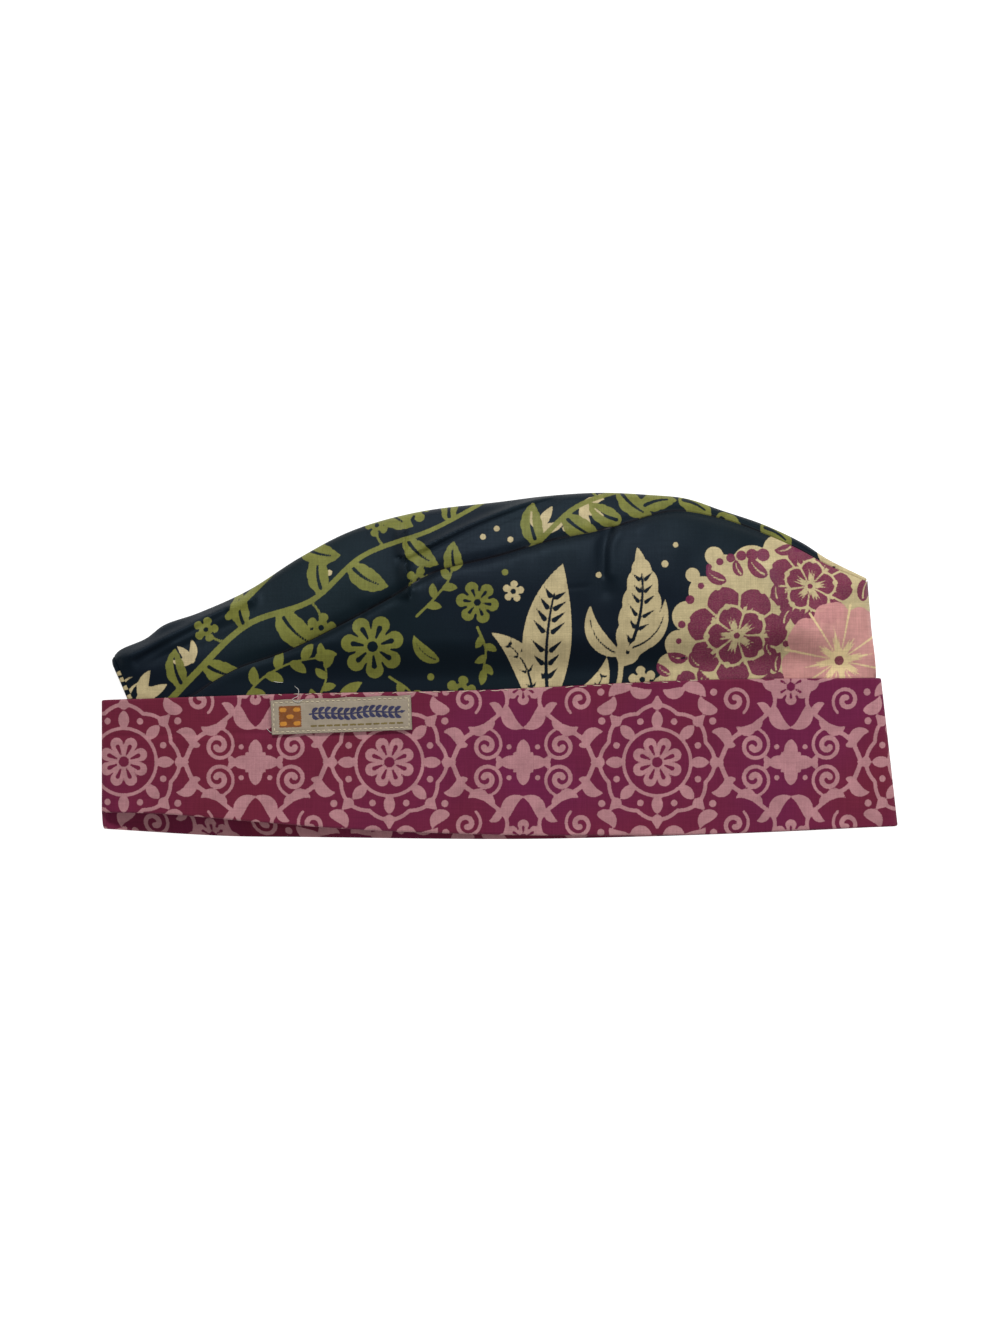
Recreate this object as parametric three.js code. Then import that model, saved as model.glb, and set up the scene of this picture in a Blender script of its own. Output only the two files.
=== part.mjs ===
// A scrub cap of printed cotton, folded flat and lying on its side. Two sewn panels make the crown,
// a turned-up band runs round it, a narrow gathered hem closes the nape and a small blank label is
// sewn to the band.
// Millimetres. +X runs from the back fold to the front fold, +Y from the opening to the top of the
// crown and +Z up from the surface it lies on. The origin is on that surface, under the middle of
// the cap's outline. "Near" is the side that faces up, and "far" the side that lies on the surface.
import * as THREE from "three";

// Outline
const capLength = 292; // flattened band, from its back fold to its front fold
const capDepth = 127.2; // lower edge of the band to the top of the crown
const tuckedDepth = 10; // lower edge of the crown above the band's near lower edge

// Cloth
const clothWall = 1.1;
const bandWall = 1.5;
const layerGap = 0.4; // between the crown and the band around it
const seamGap = 0.35; // between the edges of the two panels
const hemGap = 0.9; // between the top panel and the nape's hem

// Heights above the surface
const mouthGap = 8; // open height between the crown's two walls inside the band
const crownLoft = 18; // the crown's near side where it is fullest
const napeLoft = 0.68; // the same at the nape, as a share of crownLoft

// Outer radii of the folds, and how far from a fold a side takes to reach its full height
const ridgeFold = 2.4; // along the top of the crown
const creaseFold = 1.8; // down the front of the crown
const backFold = 2.4; // round the back of the band
const crownReach = 36;
const bandReach = 60;

// The crown stays low for a margin above the band's edge, then rises over a run
const coverMargin = 4;
const coverRun = 15;

// The side panel's slanting back edge, which the band hides
const napeFootAlong = 0.25; // its lower end, as a share of capLength
const napeWaistShare = 0.2;

const cornerRun = 4.8; // from the top panel's end to the front corner, along the ridge

// Hem of the nape, gathered into ribs
const hemWidth = 2;
const hemWall = 1.3;
const ribPitch = 1.9;
const ribHeight = 0.2;

// Blank label, with its middle as shares of the cap's length and depth
const labelLength = 51;
const labelWidth = 12.6;
const labelWall = 1;
const labelGap = 0.3;
const labelTiltDeg = 2.1;
const labelAt = { along: 0.3034, up: 0.3598 };

// Numbers of facets
const panelSteps = 30;
const sectionSteps = 10;
const foldSteps = 5;
const upperRows = 7;
const lowerRows = 3;
const bandSteps = 20;
const bandRows = 4;
const stepsPerRib = 4;
const labelSteps = 10;
const lineSteps = 160;
const sectionCrowding = 2; // how much a section's points crowd towards the ridge
const slopeStep = 0.1;

// Worked out from the sizes above
const underBand = bandWall + layerGap;
const frontFold = creaseFold + underBand;
const bandLoft = mouthGap + 2 * (clothWall + underBand);
const backX = -capLength / 2;

// Lines of the flat cap. "along" is a share of capLength from the back fold, "up" a share of
// capDepth from the lowest edge.
const ridgeTable = [
  { along: 0.016, up: 0.483 }, // where the nape hem ends
  { along: 0.012, up: 0.514 },
  { along: 0.021, up: 0.543 },
  { along: 0.056, up: 0.58 },
  { along: 0.078, up: 0.618 },
  { along: 0.12, up: 0.652 },
  { along: 0.184, up: 0.718 },
  { along: 0.249, up: 0.813 },
  { along: 0.315, up: 0.891 },
  { along: 0.397, up: 0.944 },
  { along: 0.501, up: 0.974 },
  { along: 0.561, up: 0.991 },
  { along: 0.626, up: 1.0 },
  { along: 0.687, up: 0.994 },
  { along: 0.735, up: 0.983 },
  { along: 0.778, up: 0.95 },
  { along: 0.832, up: 0.908 },
  { along: 0.881, up: 0.855 },
  { along: 0.912, up: 0.809 },
  { along: 0.962, up: 0.752 }, // top of the front crease
];
const seamTable = [
  { along: 0.085, up: 0.37 },
  { along: 0.113, up: 0.411 },
  { along: 0.144, up: 0.457 },
  { along: 0.174, up: 0.494 },
  { along: 0.238, up: 0.546 },
  { along: 0.364, up: 0.695 },
  { along: 0.416, up: 0.766 },
  { along: 0.498, up: 0.816 },
  { along: 0.561, up: 0.859 },
  { along: 0.633, up: 0.894 },
  { along: 0.716, up: 0.947 },
  { along: 0.776, up: 0.928 },
  { along: 0.832, up: 0.883 },
  { along: 0.874, up: 0.84 },
  { along: 0.912, up: 0.793 },
  { along: 0.9625, up: 0.744 }, // on the front crease
];
const bandTopTable = [
  { along: 0, up: 0.402 },
  { along: 0.25, up: 0.421 },
  { along: 0.476, up: 0.431 },
  { along: 0.751, up: 0.46 },
  { along: 0.979, up: 0.466 },
];
const nearEdgeTable = [
  { along: 0, up: 0.078 },
  { along: 0.075, up: 0.076 },
  { along: 0.19, up: 0.055 },
  { along: 0.313, up: 0.033 },
  { along: 0.501, up: 0.017 },
  { along: 0.641, up: 0.016 },
  { along: 0.762, up: 0.02 },
  { along: 0.894, up: 0.033 },
  { along: 1, up: 0.04 },
];
const farEdgeTable = [
  { along: 0, up: 0.03 },
  { along: 0.154, up: 0.009 },
  { along: 0.249, up: 0.006 },
  { along: 0.501, up: 0 },
  { along: 0.632, up: 0.005 },
  { along: 0.762, up: 0.014 },
  { along: 0.894, up: 0.027 },
  { along: 1, up: 0.04 },
];
const bandFront = { low: { along: 1, up: 0.04 }, high: { along: 0.979, up: 0.466 } };

// Soft folds of the crown's near side: a ridge, or a dent where height is negative, along a straight
// line. "height" is a share of crownLoft and "spread" a share of capDepth.
const foldTable = [
  { name: "top roll", x1: 0.413, y1: 0.848, x2: 0.56, y2: 0.986, height: 0.07, spread: 0.03 },
  { name: "tuck", x1: 0.38, y1: 0.88, x2: 0.387, y2: 0.72, height: 0.08, spread: 0.02 },
  { name: "nape roll", x1: 0.03, y1: 0.52, x2: 0.19, y2: 0.69, height: 0.08, spread: 0.018 },
  { name: "nape valley", x1: 0.05, y1: 0.5, x2: 0.17, y2: 0.62, height: -0.05, spread: 0.018 },
  { name: "side dent", x1: 0.637, y1: 0.87, x2: 0.63, y2: 0.72, height: -0.06, spread: 0.03 },
  { name: "front swell", x1: 0.86, y1: 0.74, x2: 0.9, y2: 0.52, height: 0.05, spread: 0.09 },
];
const seamDip = 0.05; // groove along the seam, as a share of crownLoft
const seamSpread = 0.02; // and its width, as a share of capDepth

const along = (share) => (share - 0.5) * capLength;
const up = (share) => (share - 0.5) * capDepth;
const mix = THREE.MathUtils.lerp;
const clamp = THREE.MathUtils.clamp;

// A smooth line in the plane of the surface through a table's rows.
function lineThrough(table) {
  const points = table.map((row) => new THREE.Vector3(along(row.along), up(row.up), 0));
  return new THREE.CatmullRomCurve3(points, false, "centripetal");
}

// How high up the cap a table's line lies at a given x.
function edgeOver(table) {
  const samples = lineThrough(table).getPoints(lineSteps);
  return (x) => {
    const after = samples.findIndex((point) => point.x > x);
    const i = after < 0 ? samples.length - 1 : Math.max(after, 1);
    const [a, b] = [samples[i - 1], samples[i]];
    return mix(a.y, b.y, clamp((x - a.x) / (b.x - a.x), 0, 1));
  };
}

// Distance in the plane from a point to the nearest of a line's straight pieces.
function distanceTo(points) {
  const pieces = points.slice(1).map((point, i) => new THREE.Line3(points[i], point));
  const probe = new THREE.Vector3();
  const nearest = new THREE.Vector3();
  return (x, y) => {
    probe.set(x, y, 0);
    const gaps = pieces.map((piece) =>
      piece.closestPointToPoint(probe, true, nearest).distanceTo(probe),
    );
    return Math.min(...gaps);
  };
}

const ridge = lineThrough(ridgeTable);
const seam = lineThrough(seamTable);
const bandTop = edgeOver(bandTopTable);
const nearEdge = edgeOver(nearEdgeTable);
const farEdge = edgeOver(farEdgeTable);
const crownEdge = (x) => nearEdge(x) + tuckedDepth;
const bandFrontX = (y) =>
  THREE.MathUtils.mapLinear(
    y,
    up(bandFront.low.up),
    up(bandFront.high.up),
    along(bandFront.low.along),
    along(bandFront.high.along),
  );

// The front crease of the crown runs from the end of the ridge to where the band covers it, and
// then follows the band's own front fold.
const creaseAt = (y) => new THREE.Vector3(bandFrontX(y) - underBand, y, 0);
const creaseHigh = creaseAt(up(bandFront.high.up));
const creaseLow = creaseAt(crownEdge(bandFrontX(up(bandFront.low.up)) - underBand));
const toCrease = distanceTo([creaseHigh, creaseLow]);
const toOutline = distanceTo([...ridge.getSpacedPoints(lineSteps), creaseHigh, creaseLow]);
const toSeam = distanceTo(seam.getSpacedPoints(lineSteps));

// The level direction out of the cap across a fold, for a direction along the fold that leads
// towards the front or down.
const outwardFrom = (tangent) => new THREE.Vector3(-tangent.y, tangent.x, 0).normalize();

// A side's height at a distance from its fold: a round fold, then a slow rise to its loft.
const ease = (share) => 1 - (1 - clamp(share, 0, 1)) ** 2;
const arc = (distance, radius) => radius * Math.sqrt(1 - (1 - Math.min(distance / radius, 1)) ** 2);
const nearSide = (distance, radius, loft, reach) =>
  radius + arc(distance, radius) + (loft - 2 * radius) * ease(distance / reach);
const farSide = (distance, radius) => radius - arc(distance, radius);

const hill = (distance, spread) => Math.exp(-((distance / spread) ** 2));
const folds = foldTable.map((fold) => ({
  toLine: distanceTo([
    new THREE.Vector3(along(fold.x1), up(fold.y1), 0),
    new THREE.Vector3(along(fold.x2), up(fold.y2), 0),
  ]),
  height: fold.height * crownLoft,
  spread: fold.spread * capDepth,
}));

// Folds and the seam's groove fade out at the outline, where the cloth turns over.
function relief(x, y) {
  const fade = ease(toOutline(x, y) / (2 * ridgeFold));
  const dip = -seamDip * crownLoft * hill(toSeam(x, y), seamSpread * capDepth);
  const rise = folds.reduce((sum, fold) => sum + fold.height * hill(fold.toLine(x, y), fold.spread), 0);
  return fade * (dip + rise);
}

// How far the band holds the crown flat: 1 under the band, 0 where the crown is free.
const covered = (x, y) =>
  1 - THREE.MathUtils.smoothstep(y, bandTop(x) + coverMargin, bandTop(x) + coverMargin + coverRun);

function crownHeight(x, y, near) {
  const cover = covered(x, y);
  const out = toOutline(x, y);
  const inCrease = toCrease(x, y);
  if (!near) {
    const held = underBand + farSide(inCrease, creaseFold);
    return mix(farSide(out, ridgeFold), held, cover);
  }
  const fullness = THREE.MathUtils.smoothstep(x, along(0), along(0.45));
  const loft = crownLoft * mix(napeLoft, 1, fullness);
  const free = nearSide(out, ridgeFold, loft, crownReach) + relief(x, y);
  const inFront = underBand + nearSide(inCrease, creaseFold, bandLoft - 2 * underBand, bandReach);
  const inBack = nearSide(x - backX, backFold, bandLoft, bandReach) - underBand;
  return mix(free, Math.min(inFront, inBack), cover);
}

function bandHeight(x, y, near) {
  const front = bandFrontX(y) - x;
  const back = x - backX;
  if (!near) return Math.max(farSide(front, frontFold), farSide(back, backFold));
  return Math.min(
    nearSide(front, frontFold, bandLoft, bandReach),
    nearSide(back, backFold, bandLoft, bandReach),
  );
}

// A point on a cloth's outer face and the direction that faces out of it. On a fold that direction
// is level, and is given; elsewhere it comes from the slope of the side.
function facePoint(heightOf, flat, near, outward) {
  const { x, y } = flat;
  const position = new THREE.Vector3(x, y, heightOf(x, y, near));
  if (outward) return { position, normal: outward };
  const slope = (dx, dy) =>
    (heightOf(x + dx, y + dy, near) - heightOf(x - dx, y - dy, near)) / (2 * slopeStep);
  const normal = new THREE.Vector3(-slope(slopeStep, 0), -slope(0, slopeStep), 1).normalize();
  return { position, normal: near ? normal : normal.negate() };
}

// A closed wall of cloth. Its outer face passes through columns of face points whose direction
// across the columns, crossed with the direction up them, points outwards; its inner face lies one
// wall inside that. Columns that close on themselves make a loop.
function wallGeometry(columns, wall, closed = false) {
  const count = columns.length;
  const rows = columns[0].length;
  const points = columns.flat();
  const outer = points.map(({ position }) => position);
  const inner = points.map(({ position, normal }) => position.clone().addScaledVector(normal, -wall));
  const vertices = [...outer, ...inner];
  const triangles = [];
  const quad = (a, b, c, d) => triangles.push(a, b, c, a, c, d);
  const o = (i, j) => (i % count) * rows + j;
  const n = (i, j) => o(i, j) + outer.length;
  const spans = closed ? count : count - 1;
  const last = rows - 1;
  for (let i = 0; i < spans; i += 1) {
    for (let j = 0; j < last; j += 1) {
      quad(o(i, j), o(i + 1, j), o(i + 1, j + 1), o(i, j + 1));
      quad(n(i, j), n(i, j + 1), n(i + 1, j + 1), n(i + 1, j));
    }
    quad(o(i + 1, 0), o(i, 0), n(i, 0), n(i + 1, 0));
    quad(o(i, last), o(i + 1, last), n(i + 1, last), n(i, last));
  }
  if (!closed) {
    for (let j = 0; j < last; j += 1) {
      quad(o(0, j), o(0, j + 1), n(0, j + 1), n(0, j));
      quad(o(spans, j + 1), o(spans, j), n(spans, j), n(spans, j + 1));
    }
  }
  const geometry = new THREE.BufferGeometry().setFromPoints(vertices);
  geometry.setIndex(triangles);
  geometry.computeVertexNormals();
  return geometry;
}

// Shares from 0 to 1 that crowd together towards 0.
const crowded = (steps, power) =>
  Array.from({ length: steps + 1 }, (_, k) => (k / steps) ** power);

// Distances from a fold that step evenly round its arc, from the side's own plane to the fold.
const roundFold = (radius) =>
  Array.from({ length: foldSteps + 1 }, (_, k) =>
    radius * (1 - Math.sin((k / foldSteps) * (Math.PI / 2))),
  );

// The share of a line's length at which it first lies a distance away from the nape's edge.
const napeEdge = [ridge.getPoint(0), seam.getPoint(0)];
const toNape = distanceTo(napeEdge);
function shareFromNape(line, distance) {
  const samples = line.getSpacedPoints(4 * lineSteps);
  return samples.findIndex(({ x, y }) => toNape(x, y) >= distance) / (4 * lineSteps);
}

// Stations that both panels share, from the hem to just short of the front corner. Each joins a
// point of the seam to a point of the ridge.
const hemRun = hemWidth + hemGap;
const seamLength = seam.getLength();
const seamStart = shareFromNape(seam, hemRun);
const seamStop = 1 - cornerRun / seamLength;
const ridgeStart = shareFromNape(ridge, hemRun);
const ridgeStop = 1 - cornerRun / ridge.getLength();
const stations = Array.from({ length: panelSteps + 1 }, (_, k) => {
  const share = k / panelSteps;
  return {
    share,
    onSeam: seam.getPointAt(mix(seamStart, seamStop, share)),
    onRidge: ridge.getPointAt(mix(ridgeStart, ridgeStop, share)),
    outward: outwardFrom(ridge.getTangentAt(mix(ridgeStart, ridgeStop, share))),
  };
});

// A section goes from the seam up the near side, over the ridge and down the far side again.
function section({ onRidge, outward }, edge, shares, wave = () => 0) {
  const height = (near) => (x, y) => crownHeight(x, y, near) + (near ? wave(x, y) : 0);
  const at = (share, near) =>
    facePoint(height(near), onRidge.clone().lerp(edge, share), near, share === 0 && outward);
  return [
    ...shares.map((share) => at(share, true)).reverse(),
    ...shares.slice(1).map((share) => at(share, false)),
  ];
}

const towards = (from, to, distance) => from.clone().lerp(to, distance / from.distanceTo(to));

function crownTopPanel() {
  const shares = crowded(sectionSteps, sectionCrowding);
  const columns = stations.map((station) =>
    section(station, towards(station.onSeam, station.onRidge, seamGap / 2), shares),
  );
  return wallGeometry(columns, clothWall);
}

// The side panel goes from the nape along the near side, round the front crease and back along the
// far side. Each column drops from the seam to a waist just above the band, and on to its foot.
function sideColumn({ onSeam, waist, foot, outward }, near) {
  const top = towards(onSeam, waist, seamGap / 2);
  const upper = crowded(upperRows, 1.5).map((share) => top.clone().lerp(waist, share));
  const lower = crowded(lowerRows, 1).map((share) => waist.clone().lerp(foot, share));
  return [...upper, ...lower.slice(1)]
    .reverse()
    .map((flat) => facePoint(crownHeight, flat, near, outward));
}

function crownSidePanel() {
  const napeFoot = new THREE.Vector3(along(napeFootAlong), crownEdge(along(napeFootAlong)), 0);
  const napeWaist = seam.getPointAt(seamStart).lerp(napeFoot, napeWaistShare);
  const flats = stations.map(({ share, onSeam }) => {
    const waist = new THREE.Vector3(mix(napeWaist.x, creaseHigh.x - creaseFold, share), 0, 0);
    const foot = new THREE.Vector3(mix(napeFoot.x, creaseLow.x - creaseFold, share), 0, 0);
    foot.y = crownEdge(foot.x);
    waist.y = Math.min(bandTop(waist.x) + coverMargin, mix(onSeam.y, foot.y, napeWaistShare));
    return { onSeam, waist, foot };
  });
  const turning = roundFold(creaseFold).slice(1).map((distance) => ({
    onSeam: seam.getPointAt(1 - ((distance / creaseFold) * cornerRun) / seamLength),
    waist: creaseHigh.clone().setX(creaseHigh.x - distance),
    foot: new THREE.Vector3(creaseLow.x - distance, crownEdge(creaseLow.x - distance), 0),
  }));
  turning.at(-1).outward = outwardFrom(creaseLow.clone().sub(creaseHigh));
  const nearHalf = [...flats, ...turning];
  const columns = [
    ...nearHalf.map((column) => sideColumn(column, true)),
    ...nearHalf.slice(0, -1).reverse().map((column) => sideColumn(column, false)),
  ];
  return wallGeometry(columns, clothWall);
}

// The gathered hem runs along the nape's edge, in line with the top panel, with a rib at every
// pitch.
function backHem() {
  const reach = napeEdge[0].distanceTo(napeEdge[1]);
  const shares = crowded(Math.round(reach / ribPitch) * stepsPerRib, 1);
  const wave = (x, y) => {
    const fromRidge = Math.hypot(x - napeEdge[0].x, y - napeEdge[0].y);
    const fade = ease(fromRidge / (2 * ridgeFold)) * (1 - covered(x, y));
    return ribHeight * fade * Math.cos((2 * Math.PI * fromRidge) / ribPitch);
  };
  const columns = [0, hemWidth].map((distance) => {
    const share = shareFromNape(ridge, distance);
    const onRidge = ridge.getPointAt(share);
    const outward = outwardFrom(ridge.getTangentAt(share));
    const edge = seam.getPointAt(shareFromNape(seam, distance));
    return section({ onRidge, outward }, edge, shares, wave);
  });
  return wallGeometry(columns, hemWall);
}

// The band is one loop. Its near and far lower edges lie at different heights up the cap, and pass
// into one another round the two folds.
function bandColumn({ xAt, turn, outward }, near) {
  return Array.from({ length: bandRows + 1 }, (_, j) => {
    const low = mix(nearEdge(xAt(0)), farEdge(xAt(0)), near ? turn : 1 - turn);
    const y = mix(low, bandTop(xAt(0)), j / bandRows);
    return facePoint(bandHeight, new THREE.Vector3(xAt(y), y, 0), near, outward);
  });
}

function band() {
  const turnAt = (k) => k / foldSteps / 2;
  const frontArc = roundFold(frontFold).map((distance, k) => ({
    xAt: (y) => bandFrontX(y) - distance,
    turn: turnAt(k),
  }));
  const backArc = roundFold(backFold).map((distance, k) => ({
    xAt: () => backX + distance,
    turn: turnAt(k),
  }));
  frontArc.at(-1).outward = outwardFrom(creaseLow.clone().sub(creaseHigh));
  backArc.at(-1).outward = new THREE.Vector3(-1, 0, 0);
  const flat = Array.from({ length: bandSteps - 1 }, (_, k) => ({
    xAt: (y) => mix(backX + backFold, bandFrontX(y) - frontFold, (k + 1) / bandSteps),
    turn: 0,
  }));
  const nearHalf = [...backArc.slice(0, -1).reverse(), ...flat, ...frontArc];
  const farHalf = [...frontArc.slice(0, -1).reverse(), ...flat.reverse(), ...backArc];
  const columns = [
    ...nearHalf.map((column) => bandColumn(column, true)),
    ...farHalf.map((column) => bandColumn(column, false)),
  ];
  return wallGeometry(columns, bandWall, true);
}

// The label follows the band's near side.
function label() {
  const middle = new THREE.Vector3(along(labelAt.along), up(labelAt.up), 0);
  const tilt = THREE.MathUtils.degToRad(labelTiltDeg);
  const height = (x, y) => bandHeight(x, y, true) + labelGap + labelWall;
  const columns = crowded(labelSteps, 1).map((lengthShare) =>
    [0, 0.5, 1].map((widthShare) => {
      const flat = new THREE.Vector3(
        (lengthShare - 0.5) * labelLength,
        (widthShare - 0.5) * labelWidth,
        0,
      );
      flat.applyAxisAngle(new THREE.Vector3(0, 0, 1), tilt).add(middle);
      return facePoint(height, flat, true);
    }),
  );
  return wallGeometry(columns, labelWall);
}

function piece(name, geometry, colour, roughness) {
  const material = new THREE.MeshStandardMaterial({ color: colour, roughness, metalness: 0 });
  const mesh = new THREE.Mesh(geometry, material);
  mesh.name = name;
  return mesh;
}

const cap = new THREE.Group();
cap.name = "scrub_cap";
cap.add(piece("crown_top_panel", crownTopPanel(), 0x1b2634, 0.85));
cap.add(piece("crown_side_panel", crownSidePanel(), 0x1b2634, 0.85));
cap.add(piece("back_hem", backHem(), 0x1b2634, 0.85));
cap.add(piece("band", band(), 0x6f2546, 0.8));
cap.add(piece("label", label(), 0xc9bda6, 0.55));

export default cap;
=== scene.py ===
"""The looks of a printed-cotton scrub cap that lies flat on its side, seen from straight above.

Shapes are worked out in millimetres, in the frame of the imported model, and stored in metres. The
prints are drawn as signed distances, in millimetres, to motifs of this script's own: each vertex
stores its distance to each colour, and the materials turn the distances into crisp edges.
"""

import math

import bpy
import numpy as np
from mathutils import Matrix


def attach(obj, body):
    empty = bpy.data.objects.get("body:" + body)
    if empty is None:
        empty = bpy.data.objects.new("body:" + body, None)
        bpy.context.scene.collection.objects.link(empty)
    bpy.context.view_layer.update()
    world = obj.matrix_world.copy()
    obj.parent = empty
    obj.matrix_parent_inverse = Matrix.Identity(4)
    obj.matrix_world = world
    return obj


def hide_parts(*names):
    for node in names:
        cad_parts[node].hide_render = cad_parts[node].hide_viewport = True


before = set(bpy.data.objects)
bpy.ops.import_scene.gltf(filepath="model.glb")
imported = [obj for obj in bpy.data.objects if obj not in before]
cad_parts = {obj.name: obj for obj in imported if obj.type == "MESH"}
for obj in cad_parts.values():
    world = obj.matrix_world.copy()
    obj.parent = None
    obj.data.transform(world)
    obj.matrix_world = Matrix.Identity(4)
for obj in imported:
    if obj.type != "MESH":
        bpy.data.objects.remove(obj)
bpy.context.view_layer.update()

MM = 0.001
rng = np.random.default_rng(11)

# Sizes of the cap in millimetres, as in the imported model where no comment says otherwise
CAP_LENGTH = 292.0
CAP_DEPTH = 127.2
CLOTH_WALL = 1.1
BAND_WALL = 1.5
LAYER_GAP = 0.4
UNDER_BAND = BAND_WALL + LAYER_GAP
RIDGE_FOLD = 2.4
CREASE_FOLD = 1.8
FRONT_FOLD = CREASE_FOLD + UNDER_BAND
BACK_FOLD = 2.4
BAND_LOFT = 14.0
# The band's height as it shows, a level half way up it, how far its front leans and its folds' fade
BAND_HEIGHT = 56.0
BAND_MIDDLE = -35.0
FRONT_LEAN = 4.0
FOLD_FADE = 8.0
CROWN_LOFT = 18.0
NAPE_LOFT = 0.68
NAPE_RISE_END = 0.45
CROWN_REACH = 36.0
BAND_REACH = 60.0
COVER_MARGIN = 4.0
COVER_RUN = 15.0
TUCKED_DEPTH = 10.0
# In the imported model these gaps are 0.35 and 0.9; here they are closed against light from the floor
SEAM_GAP = 0.06
HEM_GAP = 0.08
HEM_WIDTH = 2.0
HEM_WALL = 1.3
# Along the seam, the side panel turns under over the first run, and the top panel stops at the second
CORNER_RUN = 4.8
TIP_RUN = 0.4
# Where the side panel's back edge ends below, and how far down that edge its waist lies, as shares
NAPE_FOOT = 0.25
NAPE_WAIST = 0.2
WAIST_COVER = 1.5
EDGE_ROUND = 0.4
SIDE_EDGE_ROUND = 0.45
SIDE_GROOVE = 0.3
SIDE_GROOVE_SPREAD = 1.6
HEM_ROUND = 0.55
RIB_PITCH = 1.9
BAND_ROUND = 0.7

# Lines of the flat cap, as shares of its length and depth, with a steeper nape than the model's
RIDGE = [
    (0.012, 0.514), (0.021, 0.543), (0.056, 0.58), (0.078, 0.618),
    (0.12, 0.652), (0.184, 0.718), (0.249, 0.813), (0.315, 0.891), (0.397, 0.944),
    (0.501, 0.974), (0.561, 0.991), (0.626, 1.0), (0.687, 0.994), (0.735, 0.983),
    (0.778, 0.95), (0.832, 0.908), (0.881, 0.855), (0.912, 0.809), (0.962, 0.752),
]
SEAM = [
    (0.041, 0.362), (0.075, 0.381), (0.113, 0.411), (0.144, 0.457), (0.174, 0.494), (0.238, 0.546),
    (0.364, 0.695), (0.416, 0.766), (0.498, 0.816), (0.561, 0.859), (0.633, 0.894),
    (0.716, 0.947), (0.776, 0.928), (0.832, 0.883), (0.874, 0.84), (0.912, 0.793),
    (0.9625, 0.744),
]
BAND_TOP = [(0, 0.402), (0.25, 0.421), (0.476, 0.431), (0.751, 0.46), (0.979, 0.466)]
NEAR_EDGE = [
    (0, 0.078), (0.075, 0.076), (0.19, 0.055), (0.313, 0.033), (0.501, 0.017),
    (0.641, 0.016), (0.762, 0.02), (0.894, 0.033), (1, 0.04),
]
FAR_EDGE = [
    (0, 0.03), (0.154, 0.009), (0.249, 0.006), (0.501, 0), (0.632, 0.005),
    (0.762, 0.014), (0.894, 0.027), (1, 0.04),
]
BAND_FRONT_LOW = (1, 0.04)
BAND_FRONT_HIGH = (0.979, 0.466)


STEPS_BETWEEN = 14


def place(shares):
    """Millimetres in the plane for rows of shares."""
    rows = np.asarray(shares, float)
    return (rows - 0.5) * (CAP_LENGTH, CAP_DEPTH)


def x_at(share):
    return (share - 0.5) * CAP_LENGTH


def resample(points, count):
    """The same line with evenly spaced points."""
    points = np.asarray(points, float)
    steps = np.hypot(*np.diff(points, axis=0).T)
    run = np.concatenate([[0], np.cumsum(steps)])
    wanted = np.linspace(0, run[-1], count)
    return np.column_stack([np.interp(wanted, run, points[:, k]) for k in range(points.shape[1])])


def smooth_line(points, count=None):
    """A centripetal Catmull-Rom line through the points, with steps of its own or evenly spaced."""
    points = np.asarray(points, float)
    first = 2 * points[0] - points[1]
    last = 2 * points[-1] - points[-2]
    padded = np.vstack([first, points, last])
    out = []
    for p0, p1, p2, p3 in zip(padded, padded[1:], padded[2:], padded[3:]):
        spans = np.diff([p0, p1, p2, p3], axis=0)
        d0, d1, d2 = np.maximum(np.linalg.norm(spans, axis=1) ** 0.5, 1e-6)
        t1 = ((p1 - p0) / d0 - (p2 - p0) / (d0 + d1) + (p2 - p1) / d1) * d1
        t2 = ((p2 - p1) / d1 - (p3 - p1) / (d1 + d2) + (p3 - p2) / d2) * d1
        t = np.linspace(0, 1, STEPS_BETWEEN, endpoint=False)[:, None]
        out.append(
            (2 * t**3 - 3 * t**2 + 1) * p1
            + (t**3 - 2 * t**2 + t) * t1
            + (3 * t**2 - 2 * t**3) * p2
            + (t**3 - t**2) * t2
        )
    out.append(points[-1:])
    line = np.vstack(out)
    return resample(line, count) if count else line


def distance_to(line, x, y):
    """Distance in the plane from each point to a line of straight pieces."""
    line = np.asarray(line, float)
    shape = np.shape(x)
    px, py = np.ravel(x), np.ravel(y)
    best = np.full(px.shape, np.inf)
    for (ax, ay), (bx, by) in zip(line, line[1:]):
        dx, dy = bx - ax, by - ay
        t = np.clip(((px - ax) * dx + (py - ay) * dy) / (dx * dx + dy * dy), 0, 1)
        best = np.minimum(best, (px - ax - t * dx) ** 2 + (py - ay - t * dy) ** 2)
    return np.sqrt(best).reshape(shape)


def edge_over(rows):
    line = smooth_line(place(rows))
    return lambda x: np.interp(x, line[:, 0], line[:, 1])


ridge = smooth_line(place(RIDGE), 200)
seam = smooth_line(place(SEAM), 200)
band_top = edge_over(BAND_TOP)
near_edge = edge_over(NEAR_EDGE)
far_edge = edge_over(FAR_EDGE)
back_x = -CAP_LENGTH / 2
front_low, front_high = place([BAND_FRONT_LOW, BAND_FRONT_HIGH])


def band_front_x(y):
    share = (y - front_low[1]) / (front_high[1] - front_low[1])
    return front_low[0] + share * (front_high[0] - front_low[0])


def crown_edge(x):
    return near_edge(x) + TUCKED_DEPTH


def crease_at(y):
    return np.array([band_front_x(y) - UNDER_BAND, y])


crease_high = crease_at(front_high[1])
crease_low = crease_at(crown_edge(front_low[0] - UNDER_BAND))
outline = np.vstack([ridge, crease_high, crease_low])


def ease(share):
    return 1 - (1 - np.clip(share, 0, 1)) ** 2


def smoothstep(value, low, high):
    t = np.clip((value - low) / (high - low), 0, 1)
    return t * t * (3 - 2 * t)


def arc(distance, radius):
    return radius * np.sqrt(1 - (1 - np.minimum(distance / radius, 1)) ** 2)


def near_side(distance, radius, loft, reach):
    return radius + arc(distance, radius) + (loft - 2 * radius) * ease(distance / reach)


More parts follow.
